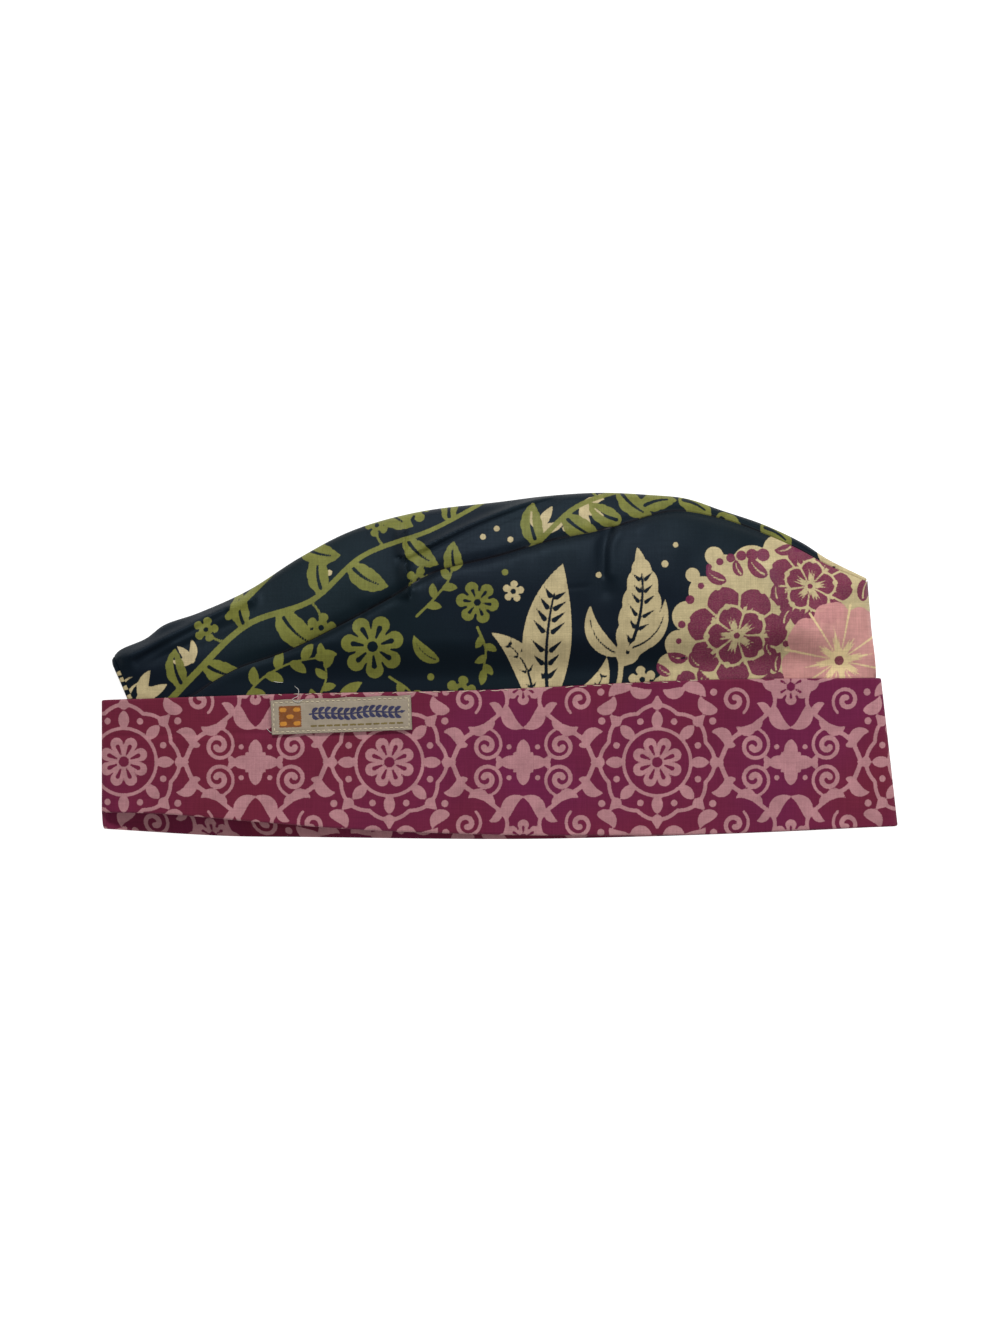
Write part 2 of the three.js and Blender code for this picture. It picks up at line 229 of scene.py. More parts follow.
def far_side(distance, radius):
    return radius - arc(distance, radius)


def hill(distance, spread):
    return np.exp(-((distance / spread) ** 2))


def covered(x, y):
    low = band_top(x) + COVER_MARGIN
    return 1 - smoothstep(y, low, low + COVER_RUN)


# Soft folds of the crown's near side: ends as shares, then height and spread in millimetres
FOLDS = [
    ((0.413, 0.848), (0.56, 0.986), 1.26, 3.8),
    ((0.38, 0.88), (0.387, 0.72), 1.44, 2.5),
    ((0.03, 0.52), (0.19, 0.69), 1.44, 2.3),
    ((0.05, 0.5), (0.17, 0.62), -0.9, 2.3),
    ((0.637, 0.87), (0.63, 0.72), -1.08, 3.8),
    ((0.86, 0.74), (0.9, 0.52), 0.9, 11.4),
]
SEAM_DIP = 0.9
SEAM_SPREAD = 2.5


def relief(x, y, out):
    total = -SEAM_DIP * hill(distance_to(seam, x, y), SEAM_SPREAD)
    for a, b, height, spread in FOLDS:
        total = total + height * hill(distance_to(place([a, b]), x, y), spread)
    return ease(out / (2 * RIDGE_FOLD)) * total


def crown_height(x, y, near, detail=None):
    """Height of the crown's outer face, with an optional finer relief on its free part."""
    cover = covered(x, y)
    out = distance_to(outline, x, y)
    in_crease = distance_to([crease_high, crease_low], x, y)
    fine = 0 if detail is None else detail(x, y) * ease(out / RIDGE_FOLD) * (1 - cover)
    if not near:
        held = UNDER_BAND + far_side(in_crease, CREASE_FOLD)
        return far_side(out, RIDGE_FOLD) * (1 - cover) + held * cover
    fullness = smoothstep(x, back_x, x_at(NAPE_RISE_END))
    loft = CROWN_LOFT * (NAPE_LOFT + (1 - NAPE_LOFT) * fullness)
    free = near_side(out, RIDGE_FOLD, loft, CROWN_REACH) + relief(x, y, out) + fine
    in_front = UNDER_BAND + near_side(in_crease, CREASE_FOLD, BAND_LOFT - 2 * UNDER_BAND, BAND_REACH)
    in_back = near_side(x - back_x, BACK_FOLD, BAND_LOFT, BAND_REACH) - UNDER_BAND
    return free * (1 - cover) + np.minimum(in_front, in_back) * cover


def band_height(x, y, near):
    front = band_front_x(y) - x
    back = x - back_x
    if not near:
        return np.maximum(far_side(front, FRONT_FOLD), far_side(back, BACK_FOLD))
    return np.minimum(
        near_side(front, FRONT_FOLD, BAND_LOFT, BAND_REACH),
        near_side(back, BACK_FOLD, BAND_LOFT, BAND_REACH),
    )


# Prints


FAR_AWAY = 6.0  # a distance that stands for "nowhere near"
# Printed colours as 8-bit sRGB, laid over one another in this order
CROWN_COLOURS = {
    "gold": (172, 157, 118),
    "lime": (104, 105, 42),
    "wine": (98, 22, 56),
    "rose": (178, 125, 121),
    "star": (198, 178, 132),
    "eye": (104, 34, 56),
}
BAND_COLOURS = {"pink": (161, 115, 119)}
LABEL_COLOURS = {"amber": (112, 62, 22), "ochre": (176, 118, 44), "ink": (36, 38, 72), "olive": (98, 84, 42)}


def heading(angle):
    return np.array([math.cos(angle), math.sin(angle)])


def angle_of(run):
    return math.atan2(run[1], run[0])


def ways_round(count, first=0.0):
    """Evenly spaced angles of one full turn."""
    return first + 2 * np.pi * np.arange(count) / count


class Print:
    """Signed distances, in millimetres, from points of the cloth to shapes in named colours."""

    def __init__(self, points, colours):
        self.points = np.asarray(points, float).reshape(-1, 2)
        self.layers = {name: np.full(len(self.points), FAR_AWAY) for name in colours}

    def stroke(self, layer, path, widths, cut=False):
        """A brush stroke along a path whose half width changes from point to point."""
        path = np.asarray(path, float)
        widths = np.broadcast_to(np.asarray(widths, float), len(path))
        reach = widths.max() + FAR_AWAY
        low, high = path.min(axis=0) - reach, path.max(axis=0) + reach
        inside = np.all((self.points > low) & (self.points < high), axis=1)
        chosen = np.flatnonzero(inside)
        if not len(chosen):
            return
        px, py = self.points[chosen].T
        best = np.full(len(chosen), np.inf)
        if len(path) == 1:
            best = np.hypot(px - path[0, 0], py - path[0, 1]) - widths[0]
        for (ax, ay), (bx, by), wa, wb in zip(path, path[1:], widths, widths[1:]):
            dx, dy = bx - ax, by - ay
            span = max(dx * dx + dy * dy, 1e-9)
            t = np.clip(((px - ax) * dx + (py - ay) * dy) / span, 0, 1)
            gap = np.hypot(px - ax - t * dx, py - ay - t * dy) - wa - t * (wb - wa)
            best = np.minimum(best, gap)
        field = self.layers[layer]
        field[chosen] = np.maximum(field[chosen], -best) if cut else np.minimum(field[chosen], best)

    def dot(self, layer, centre, radius, cut=False):
        self.stroke(layer, [centre], [radius], cut)

    def dots(self, layer, rows):
        """Round dots, from rows of x, y and radius."""
        for x, y, radius in rows:
            self.dot(layer, (x, y), radius)

    def ring(self, layer, centre, ways, reach, radius, unit=1.0, cut=False):
        """One dot each way from a centre, with lengths as multiples of a unit."""
        for a in ways:
            self.dot(layer, centre + reach * unit * heading(a), radius * unit, cut)

    def rays(self, layer, centre, ways, start, stop, widths, unit=1.0, cut=False):
        """One straight stroke each way from a centre, with lengths as multiples of a unit."""
        for a in ways:
            out = unit * heading(a)
            self.stroke(layer, [centre + start * out, centre + stop * out], np.multiply(widths, unit), cut)


def bent(start, end, bow, count=16):
    """A path between two points that bows sideways by a share of its length."""
    start, end = np.asarray(start, float), np.asarray(end, float)
    t = np.linspace(0, 1, count)[:, None]
    side = np.array([-(end - start)[1], (end - start)[0]])
    return start + t * (end - start) + 4 * t * (1 - t) * bow * side


def leaf(art, layer, base, tip, width, bow=0.12, teeth=0, vein=0.0, blunt=0.8, slits=0):
    """A leaf from base to tip, with optional teeth, and a vein and side veins left open."""
    count = max(24, 6 * teeth + 1)
    path = bent(base, tip, bow, count)
    t = np.linspace(0, 1, count)
    profile = np.sin(np.pi * t**blunt) ** 0.9
    if teeth:
        profile = profile * (0.78 + 0.34 * ((t * teeth) % 1))
    art.stroke(layer, path, 0.5 * width * profile + 0.08)
    if vein:
        inner = path[int(0.12 * count) : int(0.8 * count)]
        art.stroke(layer, inner, np.linspace(vein, 0.5 * vein, len(inner)), cut=True)
    for k in range(slits):
        at = int((0.2 + 0.52 * k / max(slits - 1, 1)) * count)
        along = angle_of(path[at + 1] - path[at])
        half = 0.5 * width * profile[at]
        ways = (along - 0.8, along + 0.8)
        art.rays(layer, path[at], ways, 0.3 * half, half, [0.055 * width, 0.02], cut=True)


def leaf_out(art, layer, base, angle, size, *looks):
    """A leaf that grows from its base at an angle."""
    leaf(art, layer, base, base + size * heading(angle), *looks)


def curl(centre, start, turns, r_out, r_in, count):
    """A spiral path that winds inwards; start is its first angle."""
    t = np.linspace(0, 1, count)
    angle = start + 2 * np.pi * turns * t
    radius = r_out + (r_in - r_out) * t**0.85
    return np.column_stack([centre[0] + radius * np.cos(angle), centre[1] + radius * np.sin(angle)])


def blossom(art, layer, centre, radius, petals, angle=0.0, core=0.17, slits=True):
    """A flat flower with round petals, an open core and a slit in each petal."""
    ways = ways_round(petals, angle)
    petal = [0.2, 0.9 * math.sin(np.pi / petals) * 0.72]
    art.dot(layer, centre, 0.55 * radius)
    art.rays(layer, centre, ways, 0.45, 0.72, petal, radius)
    art.dot(layer, centre, core * radius, cut=True)
    if slits:
        art.rays(layer, centre, ways, 0.3, 0.62, [0.035, 0.085], radius, cut=True)


def sprig(art, layer, points, buds, size):
    """A stem with small buds on alternate sides and one at its tip."""
    path = smooth_line(points, 24)
    art.stroke(layer, path, np.linspace(0.5, 0.3, len(path)))
    for k in range(buds):
        at = int((0.25 + 0.7 * k / max(buds - 1, 1)) * 22)
        lean = 0.9 if k % 2 else -0.9
        leaf_out(art, layer, path[at], angle_of(path[at + 1] - path[at]) + lean, size, 0.55 * size, 0.08)
    end = size * heading(angle_of(path[-1] - path[-2]))
    leaf(art, layer, path[-1] - 0.1 * end, path[-1] + 1.1 * end, 0.6 * size, 0.05)


# The back panel's print, in millimetres and radians
VINE = [(-133, -26), (-112, -4), (-92, 15), (-68, 24), (-50, 40), (-24, 50), (4, 66)]
VINE_SHIFTS = ((0, 0), (34, 44), (78, 18))
# Place on the vine, turn, size and teeth of each leaf
VINE_LEAVES = (
    (9, 1.0, 14, 5), (13, -1.1, 16, 6), (20, 1.15, 13, 5), (25, -1.0, 19, 7),
    (31, 0.9, 15, 6), (36, -1.2, 16, 6), (44, -1.0, 15, 5), (50, 0.9, 12, 4),
)
# Place on the vine, turn and radius of each blossom
VINE_BLOSSOMS = ((17, 1.9, 4.2), (29, -1.7, 5.0), (41, 1.6, 4.0))
# Place, angle and size of each gold tulip, then place and angle of each leaf by the ridge
TULIPS = ((-131, -12, 0.5, 1.0), (-112, 2, 2.4, 0.7), (14, 50, 1.0, 0.9), (30, 58, -0.4, 0.8))
RIDGE_LEAVES = ((52, 58, 0.2), (66, 61, -0.5), (80, 55, -0.9), (96, 51, -0.6), (44, 53, 2.6))
TOP_DOTS = ((-6, 47), (-1, 50), (4, 46), (-62, 34), (24, 50), (37, 62))


def crown_top_print(points):
    """Vines and leaves for the back panel, in the plane of the flat cap."""
    art = Print(points, CROWN_COLOURS)
    vine = smooth_line(VINE, 60)
    for shift in VINE_SHIFTS:
        stem = vine + shift
        ways = [angle_of(run) for run in np.diff(stem, axis=0)]
        art.stroke("lime", stem, np.linspace(1.3, 0.7, len(stem)))
        for at, turn, size, teeth in VINE_LEAVES:
            bow = 0.1 * np.sign(turn)
            leaf_out(art, "lime", stem[at], ways[at] + turn, size, 0.5 * size, bow, teeth, 0.7)
        for at, turn, radius in VINE_BLOSSOMS:
            a = ways[at] + turn
            centre = stem[at] + 2.1 * radius * heading(a)
            art.stroke("lime", bent(stem[at], centre, 0.15), 0.45)
            blossom(art, "lime", centre, radius, 5, a, 0.22, False)
    for x, y, a, size in TULIPS:
        for turn in (-0.75, 0.0, 0.75):
            leaf_out(art, "gold", (x, y), a + turn, 11 * size, 3.9 * size, 0.12 * turn)
        art.dot("gold", (x, y), 1.5 * size)
    for x, y, a in RIDGE_LEAVES:
        leaf_out(art, "lime", (x, y), a, 13, 7.0, 0.1, 5, 0.7)
    art.dots("gold", [(x, y, 1.1) for x, y in TOP_DOTS])
    # The front end carries on the bed of blooms, and the nape end shows a striped bud
    art.dots("gold", ((131, 35, 8), (122, 42, 5.5), (138, 30, 9)))
    leaf(art, "wine", (120, 40), (134, 36), 5.0, 0.1)
    for k in range(9):
        start = np.array([-139 + 3.4 * k, -8 - 1.9 * k])
        art.stroke("gold", bent(start, start + (5.0 - 0.2 * k, 4.2), 0.1), np.linspace(0.7, 0.15, 16))
    return art.layers


RAY_TIP = 0.008


def peony(art, centre, radius, angle, petals=7):
    """A full bloom of wine petals in two rings, with gold lines between them and rays in them."""
    art.dot("wine", centre, 0.96 * radius, cut=True)
    for ring, (count, reach, size) in enumerate(((petals, 0.64, 0.33), (petals - 2, 0.32, 0.24))):
        ways = ways_round(count, angle + 0.5 * ring)
        edge = reach + size
        if ring:
            art.ring("wine", centre, ways, reach, size + 0.05, radius, cut=True)
        art.rays("wine", centre, ways, 0.1, reach, [0.05, size], radius)
        art.rays("wine", centre, ways + np.pi / count, 0.08, edge, [0.013, 0.027], radius, cut=True)
        art.ring("wine", centre, ways, edge + 0.02, 0.06, radius, cut=True)
        start, tip = reach - 0.7 * size, RAY_TIP / radius
        for turn in (-0.2, 0.0, 0.2):
            art.rays("wine", centre, ways + turn, start, start + 0.24, [0.03, tip], radius, cut=True)
    art.dot("wine", centre, 0.12 * radius, cut=True)
    art.dot("wine", centre, 0.06 * radius)


def rosette(art, centre, radius, petals, angle):
    """A broad rose-coloured flower with a gold star and a wine eye."""
    ways = ways_round(petals, angle)
    art.rays("rose", centre, ways, 0.3, 0.66, [0.24, 0.38], radius)
    for turn in (-0.13, 0.13):
        art.ring("rose", centre, ways + turn, 0.84, 0.2, radius)
        art.rays("star", centre, ways + turn, 0.1, 0.42, [0.036, 0.004], radius)
    art.rays("star", centre, ways[::2], 0.08, 0.62, [0.05, 0.004], radius)
    art.rays("star", centre, ways[1::2], 0.08, 0.48, [0.05, 0.004], radius)
    art.rays("star", centre, ways + np.pi / petals, 0.1, 1.0, [0.01, 0.022], radius)
    art.dot("star", centre, 0.15 * radius)
    art.dot("eye", centre, 0.085 * radius)


# The side panel's print, in millimetres and radians
SIDE_SHIFTS = (0.0, 286.0)
# Stem, buds and bud size of each sprig
SPRIGS = (
    ([(-96, -18), (-88, -6), (-76, 1), (-66, 3)], 6, 6.5),
    ([(-72, -22), (-66, -12), (-63, -4), (-64, 3)], 5, 5.0),
    ([(-40, -4), (-32, -10), (-30, -18)], 3, 5.0),
    ([(-30, 18), (-24, 24), (-18, 32), (-17, 38)], 5, 5.2),
    ([(-8, 14), (-5, 6), (-6, -2)], 4, 4.6),
)
LIME_DOTS = ((-80, -12, 1.5), (-55, 19, 1.2), (-33, 30, 1.1), (-25, -4, 1.3), (2, 34, 1.2))
GOLD_DOTS = ((36, 33, 1.1), (60, 37, 1.3), (8, 4, 1.0), (64, 44, 1.0), (33, -8, 1.2))
# Base, tip, width, bow, teeth, vein, bluntness and side veins of each gold leaf
GOLD_LEAVES = (
    ((18, -14), (23, 37), 17.5, 0.06, 0, 0.7, 0.85, 7),
    ((12, -14), (-3, 12), 9.0, -0.16, 0, 0.5, 0.8, 4),
    ((22, -15), (39, 3), 8.0, -0.2, 0, 0.45, 0.8, 4),
    ((44, 0), (50, 43), 14.0, -0.1, 7, 0.7, 0.8, 6),
    ((44, 4), (33, 22), 6.5, 0.2, 0, 0.4),
    ((46, 6), (60, 24), 6.0, -0.2, 0, 0.4),
)
GOLD_STEM = [(-24, -18), (-8, -15), (10, -14), (34, -12), (60, -14)]
# The gold ground of the bed of blooms
BED = (
    (90, 12, 24), (124, 2, 30), (112, 24, 18), (134, 24, 16), (74, -10, 14), (92, 36, 8),
    (82, 34, 6.5), (74, 27, 5.5), (68, 18, 5.5), (65, 8, 5.0), (62, 0, 4.6), (60, -8, 4.6),
    (102, 42, 6.0), (78, 40, 3.4), (70, 33, 2.6),
)
# Centre, radius, turn and, where they aren't seven, petals of each peony
PEONIES = (
    ((73, -11), 11.5, 0.2, 6), ((98, -18), 17.0, 0.5), ((150, 26), 14.0, 0.1),
    ((152, -10), 14.0, 0.7), ((113, 29), 16.5, 0.9), ((86, 11), 19.0, 0.15),
)
# Place, angle and size of each wine leaf
WINE_LEAVES = (
    (68, 3, 2.9, 7), (101, 24, 1.6, 6), (97, 33, 2.3, 9), (133, 24, 1.2, 9),
    (141, 12, 0.5, 8), (82, 31, 2.6, 8), (88, 33, 1.9, 6), (101, -2, 1.4, 7), (103, 15, 1.1, 7),
    (73, 0, 2.2, 6), (84, -12, 0.9, 7), (62, -3, 2.4, 6), (107, 44, 3.4, 7), (99, 4, 2.0, 5),
)
BERRIES = tuple((76 + 4.0 * k, 37.5 - 0.25 * (k - 2.5) ** 2 + 0.9 * k, 1.1 + 0.26 * k) for k in range(6))
WINE_DOTS = ((69, 24, 1.6), (66, 15, 1.4), (65, 9, 1.1), (73, 29, 1.2), (81, -8, 1.3), (104, 8, 1.2))


def crown_side_print(points):
    """Sprigs, long gold leaves and a bed of blooms for the side panel, drawn on both its halves."""
    art = Print(points, CROWN_COLOURS)
    whole = art.points
    for shift in SIDE_SHIFTS:
        art.points = whole - (shift, 0)
        # Lime blossoms and sprigs towards the nape
        blossom(art, "lime", (-46, 7), 11.5, 7, 0.3)
        blossom(art, "lime", (-8, 23), 7.5, 6, 0.9)
        blossom(art, "lime", (-14, -9), 5.0, 5, 0.1, 0.24, False)
        for stem, buds, size in SPRIGS:
            sprig(art, "lime", stem, buds, size)
        leaf(art, "lime", (-58, -14), (-50, -6), 4.6, 0.1)
        leaf(art, "lime", (-22, 2), (-31, 11), 5.0, 0.15, 0, 0.3)
        art.dots("lime", LIME_DOTS)
        # Long gold leaves in the middle
        for row in GOLD_LEAVES:
            leaf(art, "gold", *row)
        art.stroke("gold", smooth_line(GOLD_STEM, 30), 0.8)
        art.stroke("gold", bent((44, 2), (40, -13), 0.1), 0.9)
        blossom(art, "gold", (52, -5), 4.6, 5, 0.5, 0.24, False)
        blossom(art, "gold", (5, 27), 3.6, 5, 0.2, 0.28, False)
        art.dots("gold", GOLD_DOTS + BED)
        # The bed of blooms at the front
        for row in PEONIES:
            peony(art, *row)
        rosette(art, (124, 2), 20.5, 8, 0.2)
        for x, y, a, size in WINE_LEAVES:
            leaf_out(art, "wine", (x, y), a, size, 0.55 * size, 0.14, 0, 0.35)
        art.dots("wine", BERRIES + WINE_DOTS)
    return art.layers


# The band's print: its repeat, and where a repeat starts
PERIOD = 2 * CAP_LENGTH / 6
PRINT_START = -40.0
# One quarter of the curled vines, from the midpoint between two medallions outwards
SCROLL = [(26, 0), (22, 8), (13, 14), (6, 21), (8, 28), (16, 31)]
# Base, tip, width and bow of each leaf of that quarter
SCROLL_LEAVES = (
    ((6, 20.5), (-0.2, 12.5), 4.6, 0.25),
    ((13, 14), (20, 13), 3.6, -0.3),
    ((10, 29), (3.0, 31), 4.0, 0.3),
    ((23, 6), (29.0, 11), 4.2, 0.3),
    ((27, 19), (33, 24), 4.4, -0.25),
    ((16, 31), (24, 34), 4.4, 0.25),
    ((15.5, 12.6), (10.5, 15.6), 2.6, 0.2),
    ((20.3, 6.2), (24.4, 9.2), 2.4, -0.2),
    ((9.2, 2.2), (6.4, -0.6), 2.2, 0.2),
    ((8.6, 17.2), (12.4, 21.4), 2.8, 0.2),
)


def leaves_round(art, centre, ways, start, stop, width):
    for a in ways:
        leaf(art, "pink", centre + start * heading(a), centre + stop * heading(a), width, 0.0)


def medallion(art, hub):
    """A lobed ring round an eight-petalled rose, with leaves between them."""
    t = np.linspace(0, 2 * np.pi, 97)
    lobes = 19.0 + 1.9 * np.abs(np.cos(4 * t))
    art.stroke("pink", hub + np.column_stack([lobes * np.cos(t), lobes * np.sin(t)]), 0.68)
    t = np.linspace(0, 2 * np.pi, 61)
    art.stroke("pink", hub + 12.2 * np.column_stack([np.cos(t), np.sin(t)]), 0.6)
    blossom(art, "pink", hub, 9.6, 8, np.pi / 8, 0.2)
    ways = ways_round(8)
    leaves_round(art, hub, ways, 12.8, 18.6, 3.9)
    art.ring("pink", hub, ways + np.pi / 8, 16.0, 1.2)
    # Points stand outside every lobe
    art.rays("pink", hub, ways, 21.2, 23.6, [2.1, 0.6])


def scroll_quarter(art, centre, sx, sy):
    """A curled vine with two spirals and its leaves, mirrored into one quarter."""

    def put(rows):
        return centre + np.asarray(rows, float) * (sx, sy)

    art.stroke("pink", smooth_line(put(SCROLL), 40), np.linspace(0.85, 0.6, 40))
    art.stroke("pink", put(curl((13.5, 6.0), 1.9, 1.6, 6.2, 1.0, 34)), np.linspace(0.5, 1.1, 34))
    art.stroke("pink", put(curl((20.5, 22.5), -2.2, -1.4, 5.6, 1.0, 30)), np.linspace(0.5, 1.05, 30))
    for base, tip, width, bow in SCROLL_LEAVES:
        leaf(art, "pink", put(base), put(tip), width, bow * sx * sy)
    art.dot("pink", put((28.5, 15.0)), 1.3)
    art.dot("pink", put((5.2, 5.6)), 0.95)


def band_print(points):
    """Scrollwork that repeats along the band: lobed medallions between pairs of curled vines."""
    points = np.asarray(points, float).reshape(-1, 2).copy()
    points[:, 0] = np.mod(points[:, 0] - PRINT_START, PERIOD)
    art = Print(points, BAND_COLOURS)
    for shift in (-PERIOD, 0.0, PERIOD):
        hub = np.array([shift, BAND_MIDDLE])
        centre = np.array([shift + PERIOD / 2, BAND_MIDDLE])
        medallion(art, hub)
        for sx in (-1, 1):
            for sy in (-1, 1):
                scroll_quarter(art, centre, sx, sy)
        # A four-pointed flower in the middle, and half flowers at the edges
        leaves_round(art, centre, ways_round(4), 1.4, 8.2, 4.8)
        leaves_round(art, centre, ways_round(4, np.pi / 4), 1.6, 5.0, 2.0)
        art.dot("pink", centre, 1.3)
        for sy in (-1, 1):
            blossom(art, "pink", centre + (0, 27.5 * sy), 6.4, 6, np.pi / 6, 0.24)
            for sx in (-1, 1):
                foot = hub + (sx * 9.5, 27.0 * sy)
                leaf(art, "pink", foot, foot + (sx * 8.0, -3.2 * sy), 4.4, 0.2 * sx * sy)
                leaf(art, "pink", foot, foot + (-sx * 7.5, -0.5 * sy), 3.8, 0.25 * sx * sy)
                art.dot("pink", hub + (sx * 20.5, 25.5 * sy), 1.3)
    return art.layers


LABEL_LENGTH = 51.0
LABEL_WIDTH = 12.6
LABEL_WALL = 1.0
LABEL_GAP = 0.3
LABEL_TILT = math.radians(2.1)
LABEL_ROUND = 0.35
STITCH_INSET = 1.0
STITCH_PITCH = 1.9
STITCH_RADIUS = 0.17
STRAY_RADIUS = 0.11
EDGING_RADIUS = 0.14
LABEL_AT = place((0.3034, 0.3598))


def label_print(points):
    """Plain woven marks: a checked block, a leafy sprig and a dashed line."""
    art = Print(points, LABEL_COLOURS)
    block = np.array([-18.6, 0.1])
    for k in np.linspace(-3.4, 3.4, 9):
        art.stroke("amber", [block + (-3.6, k), block + (3.6, k)], 0.5)
    for row in range(3):
        for column in range(3):
            if (row + column) % 2 == 0:
                spot = block + (2.5 * (column - 1), 2.5 * (row - 1))
                art.stroke("ochre", [spot + (-0.55, 0), spot + (0.55, 0)], 0.75)
    stem_y = 0.7 + 0.35 * np.sin(np.linspace(0, 12, 30))
    stem = np.column_stack([np.linspace(-11.5, 22.0, 30), stem_y])
    art.stroke("ink", stem, 0.3)
    leaf_widths = 0.12 + 0.62 * np.sin(np.linspace(0, np.pi, 7))
    for k in range(1, 28, 2):
        for side in (-1, 1):
            tip = stem[k] + (2.1, 1.9 * side)
            art.stroke("ink", bent(stem[k], tip, 0.2 * side, 7), leaf_widths)
    art.stroke("ink", [stem[-1], stem[-1] + (1.2, 0.2)], [0.55, 0.1])
    for k in range(12):
        start = np.array([-11.0 + 2.85 * k, -3.6])
        art.stroke("olive", [start, start + (1.7, 0)], 0.34)
    return art.layers


# Meshes


SHARP_ANGLE = math.radians(50)


def normals_of(grid, closed):
    """Outward directions of a grid of columns by rows."""
    if closed:
        across = np.roll(grid, -1, axis=0) - np.roll(grid, 1, axis=0)
    else:
        across = np.gradient(grid, axis=0)
    upwards = np.gradient(grid, axis=1)
    normal = np.cross(across, upwards)
    return normal / np.maximum(np.linalg.norm(normal, axis=2, keepdims=True), 1e-9)


def new_mesh(name, vertices, faces):
    """A smooth mesh from vertices in millimetres."""
    mesh = bpy.data.meshes.new(name)
    mesh.from_pydata((np.asarray(vertices) * MM).tolist(), [], faces)
    mesh.update()
    mesh.shade_smooth()
    return mesh


def link_object(name, data):
    made = bpy.data.objects.new(name, data)
    bpy.context.scene.collection.objects.link(made)
    return made


def rim(faces, outer, coarse, inner, flip):
    """Join an edge of the fine outer face to the matching edge of the coarse inner face."""
    for (p, a), (q, b) in zip(zip(coarse, inner), zip(coarse[1:], inner[1:])):
        mid = (p + q) // 2
        fans = [(a, outer[i], outer[i + 1]) for i in range(p, mid)]
        fans += [(a, outer[mid], b)]
        fans += [(b, outer[i], outer[i + 1]) for i in range(mid, q)]
        faces += [f[::-1] for f in fans] if flip else fans


def cloth_shell(name, face, core, wall, cloth_uv, layers, closed=False, inner=None, edge=None, reverse=1.0):
    """A closed shell of cloth: a fine outer face and, one wall inside core, a coarser inner face.

    inner gives the columns and rows that the inner face keeps, and reverse says how much it looks
    like the wrong side of the cloth.
    """
    columns, rows = face.shape[:2]
    pick_c, pick_r = inner or (range(0, columns, 6), range(0, rows, 6))
    pick_c = sorted({0, *pick_c, *([] if closed else [columns - 1])})
    pick_r = sorted({0, *pick_r, rows - 1})
    inside = core - wall * normals_of(core, closed)
    lining = inside[np.ix_(pick_c, pick_r)].reshape(-1, 3)
    base = columns * rows
    faces = []

    def outer_id(i, j):
        return (i % columns) * rows + j

    def inner_id(i, j):
        return base + (i % len(pick_c)) * len(pick_r) + j

    for i in range(columns if closed else columns - 1):
        a, b = outer_id(i, 0), outer_id(i + 1, 0)
        faces += [(a + j, b + j, b + j + 1, a + j + 1) for j in range(rows - 1)]
    for i in range(len(pick_c) if closed else len(pick_c) - 1):
        a, b = inner_id(i, 0), inner_id(i + 1, 0)
        faces += [(a + j, a + j + 1, b + j + 1, b + j) for j in range(len(pick_r) - 1)]
    run = pick_c + [columns] if closed else pick_c
    for j, jn, flip in ((0, 0, True), (rows - 1, len(pick_r) - 1, False)):
        outer = [outer_id(i, j) for i in range(columns + 1 if closed else columns)]
        rim(faces, outer, run, [inner_id(i, jn) for i in range(len(run))], flip)
    if not closed:
        for i, k, flip in ((0, 0, False), (columns - 1, len(pick_c) - 1, True)):
            outer = [outer_id(i, j) for j in range(rows)]
            rim(faces, outer, pick_r, [inner_id(k, j) for j in range(len(pick_r))], flip)
    mesh = new_mesh(name, np.vstack([face.reshape(-1, 3), lining]), faces)

    def full(values):
        values = np.asarray(values, float).reshape(columns, rows, -1)
        kept = values[np.ix_(pick_c, pick_r)].reshape(len(lining), -1)
        return np.vstack([values.reshape(base, -1), kept])

    store = {layer: full(values) for layer, values in layers.items()}
    store["inside"] = np.concatenate([np.zeros(base), np.full(len(lining), reverse)])
    store["edge"] = full(np.full(base, FAR_AWAY) if edge is None else edge)
    for key, values in store.items():
        attribute = mesh.attributes.new(key, "FLOAT", "POINT")
        attribute.data.foreach_set("value", values.ravel().astype(np.float32))
    corner = np.empty(len(mesh.loops), np.int32)
    mesh.loops.foreach_get("vertex_index", corner)
    uv = full(cloth_uv)[corner] * MM
    mesh.uv_layers.new(name="cloth").data.foreach_set("uv", uv.ravel().astype(np.float32))
    mesh.set_sharp_from_angle(angle=SHARP_ANGLE)
    return link_object(name, mesh)


def rounded(distance, radius):
    """How far a cloth's face drops towards its edge."""
    near = np.clip(distance, 0, radius)
    return radius - np.sqrt(radius**2 - (radius - near) ** 2)


# Fine folds


def noise_field(seed, pitch, low=(-160, -80), high=(170, 90)):
    """Smooth noise from -1 to 1 over the plane, with features about one pitch across."""
    make = np.random.default_rng(seed)
    columns = int((high[0] - low[0]) / pitch) + 4
    rows = int((high[1] - low[1]) / pitch) + 4
    values = make.uniform(-1, 1, (columns, rows))

    def sample(x, y):
        fx = np.clip((np.asarray(x) - low[0]) / pitch, 0, columns - 2.001)
        fy = np.clip((np.asarray(y) - low[1]) / pitch, 0, rows - 2.001)
        i, j = fx.astype(int), fy.astype(int)
        u, v = fx - i, fy - j
        u, v = u * u * (3 - 2 * u), v * v * (3 - 2 * v)
        return (
            values[i, j] * (1 - u) * (1 - v)
            + values[i + 1, j] * u * (1 - v)
            + values[i, j + 1] * (1 - u) * v
            + values[i + 1, j + 1] * u * v
        )

    return sample


swell = noise_field(3, 34)
ripple = noise_field(5, 13)
crumple = noise_field(8, 5.5)


def px(points):
    """Millimetres in the plane for points of the photograph."""
    points = np.asarray(points, float)
    return (points - (499.5, 666.0)) * (CAP_LENGTH / 799, -CAP_LENGTH / 799)


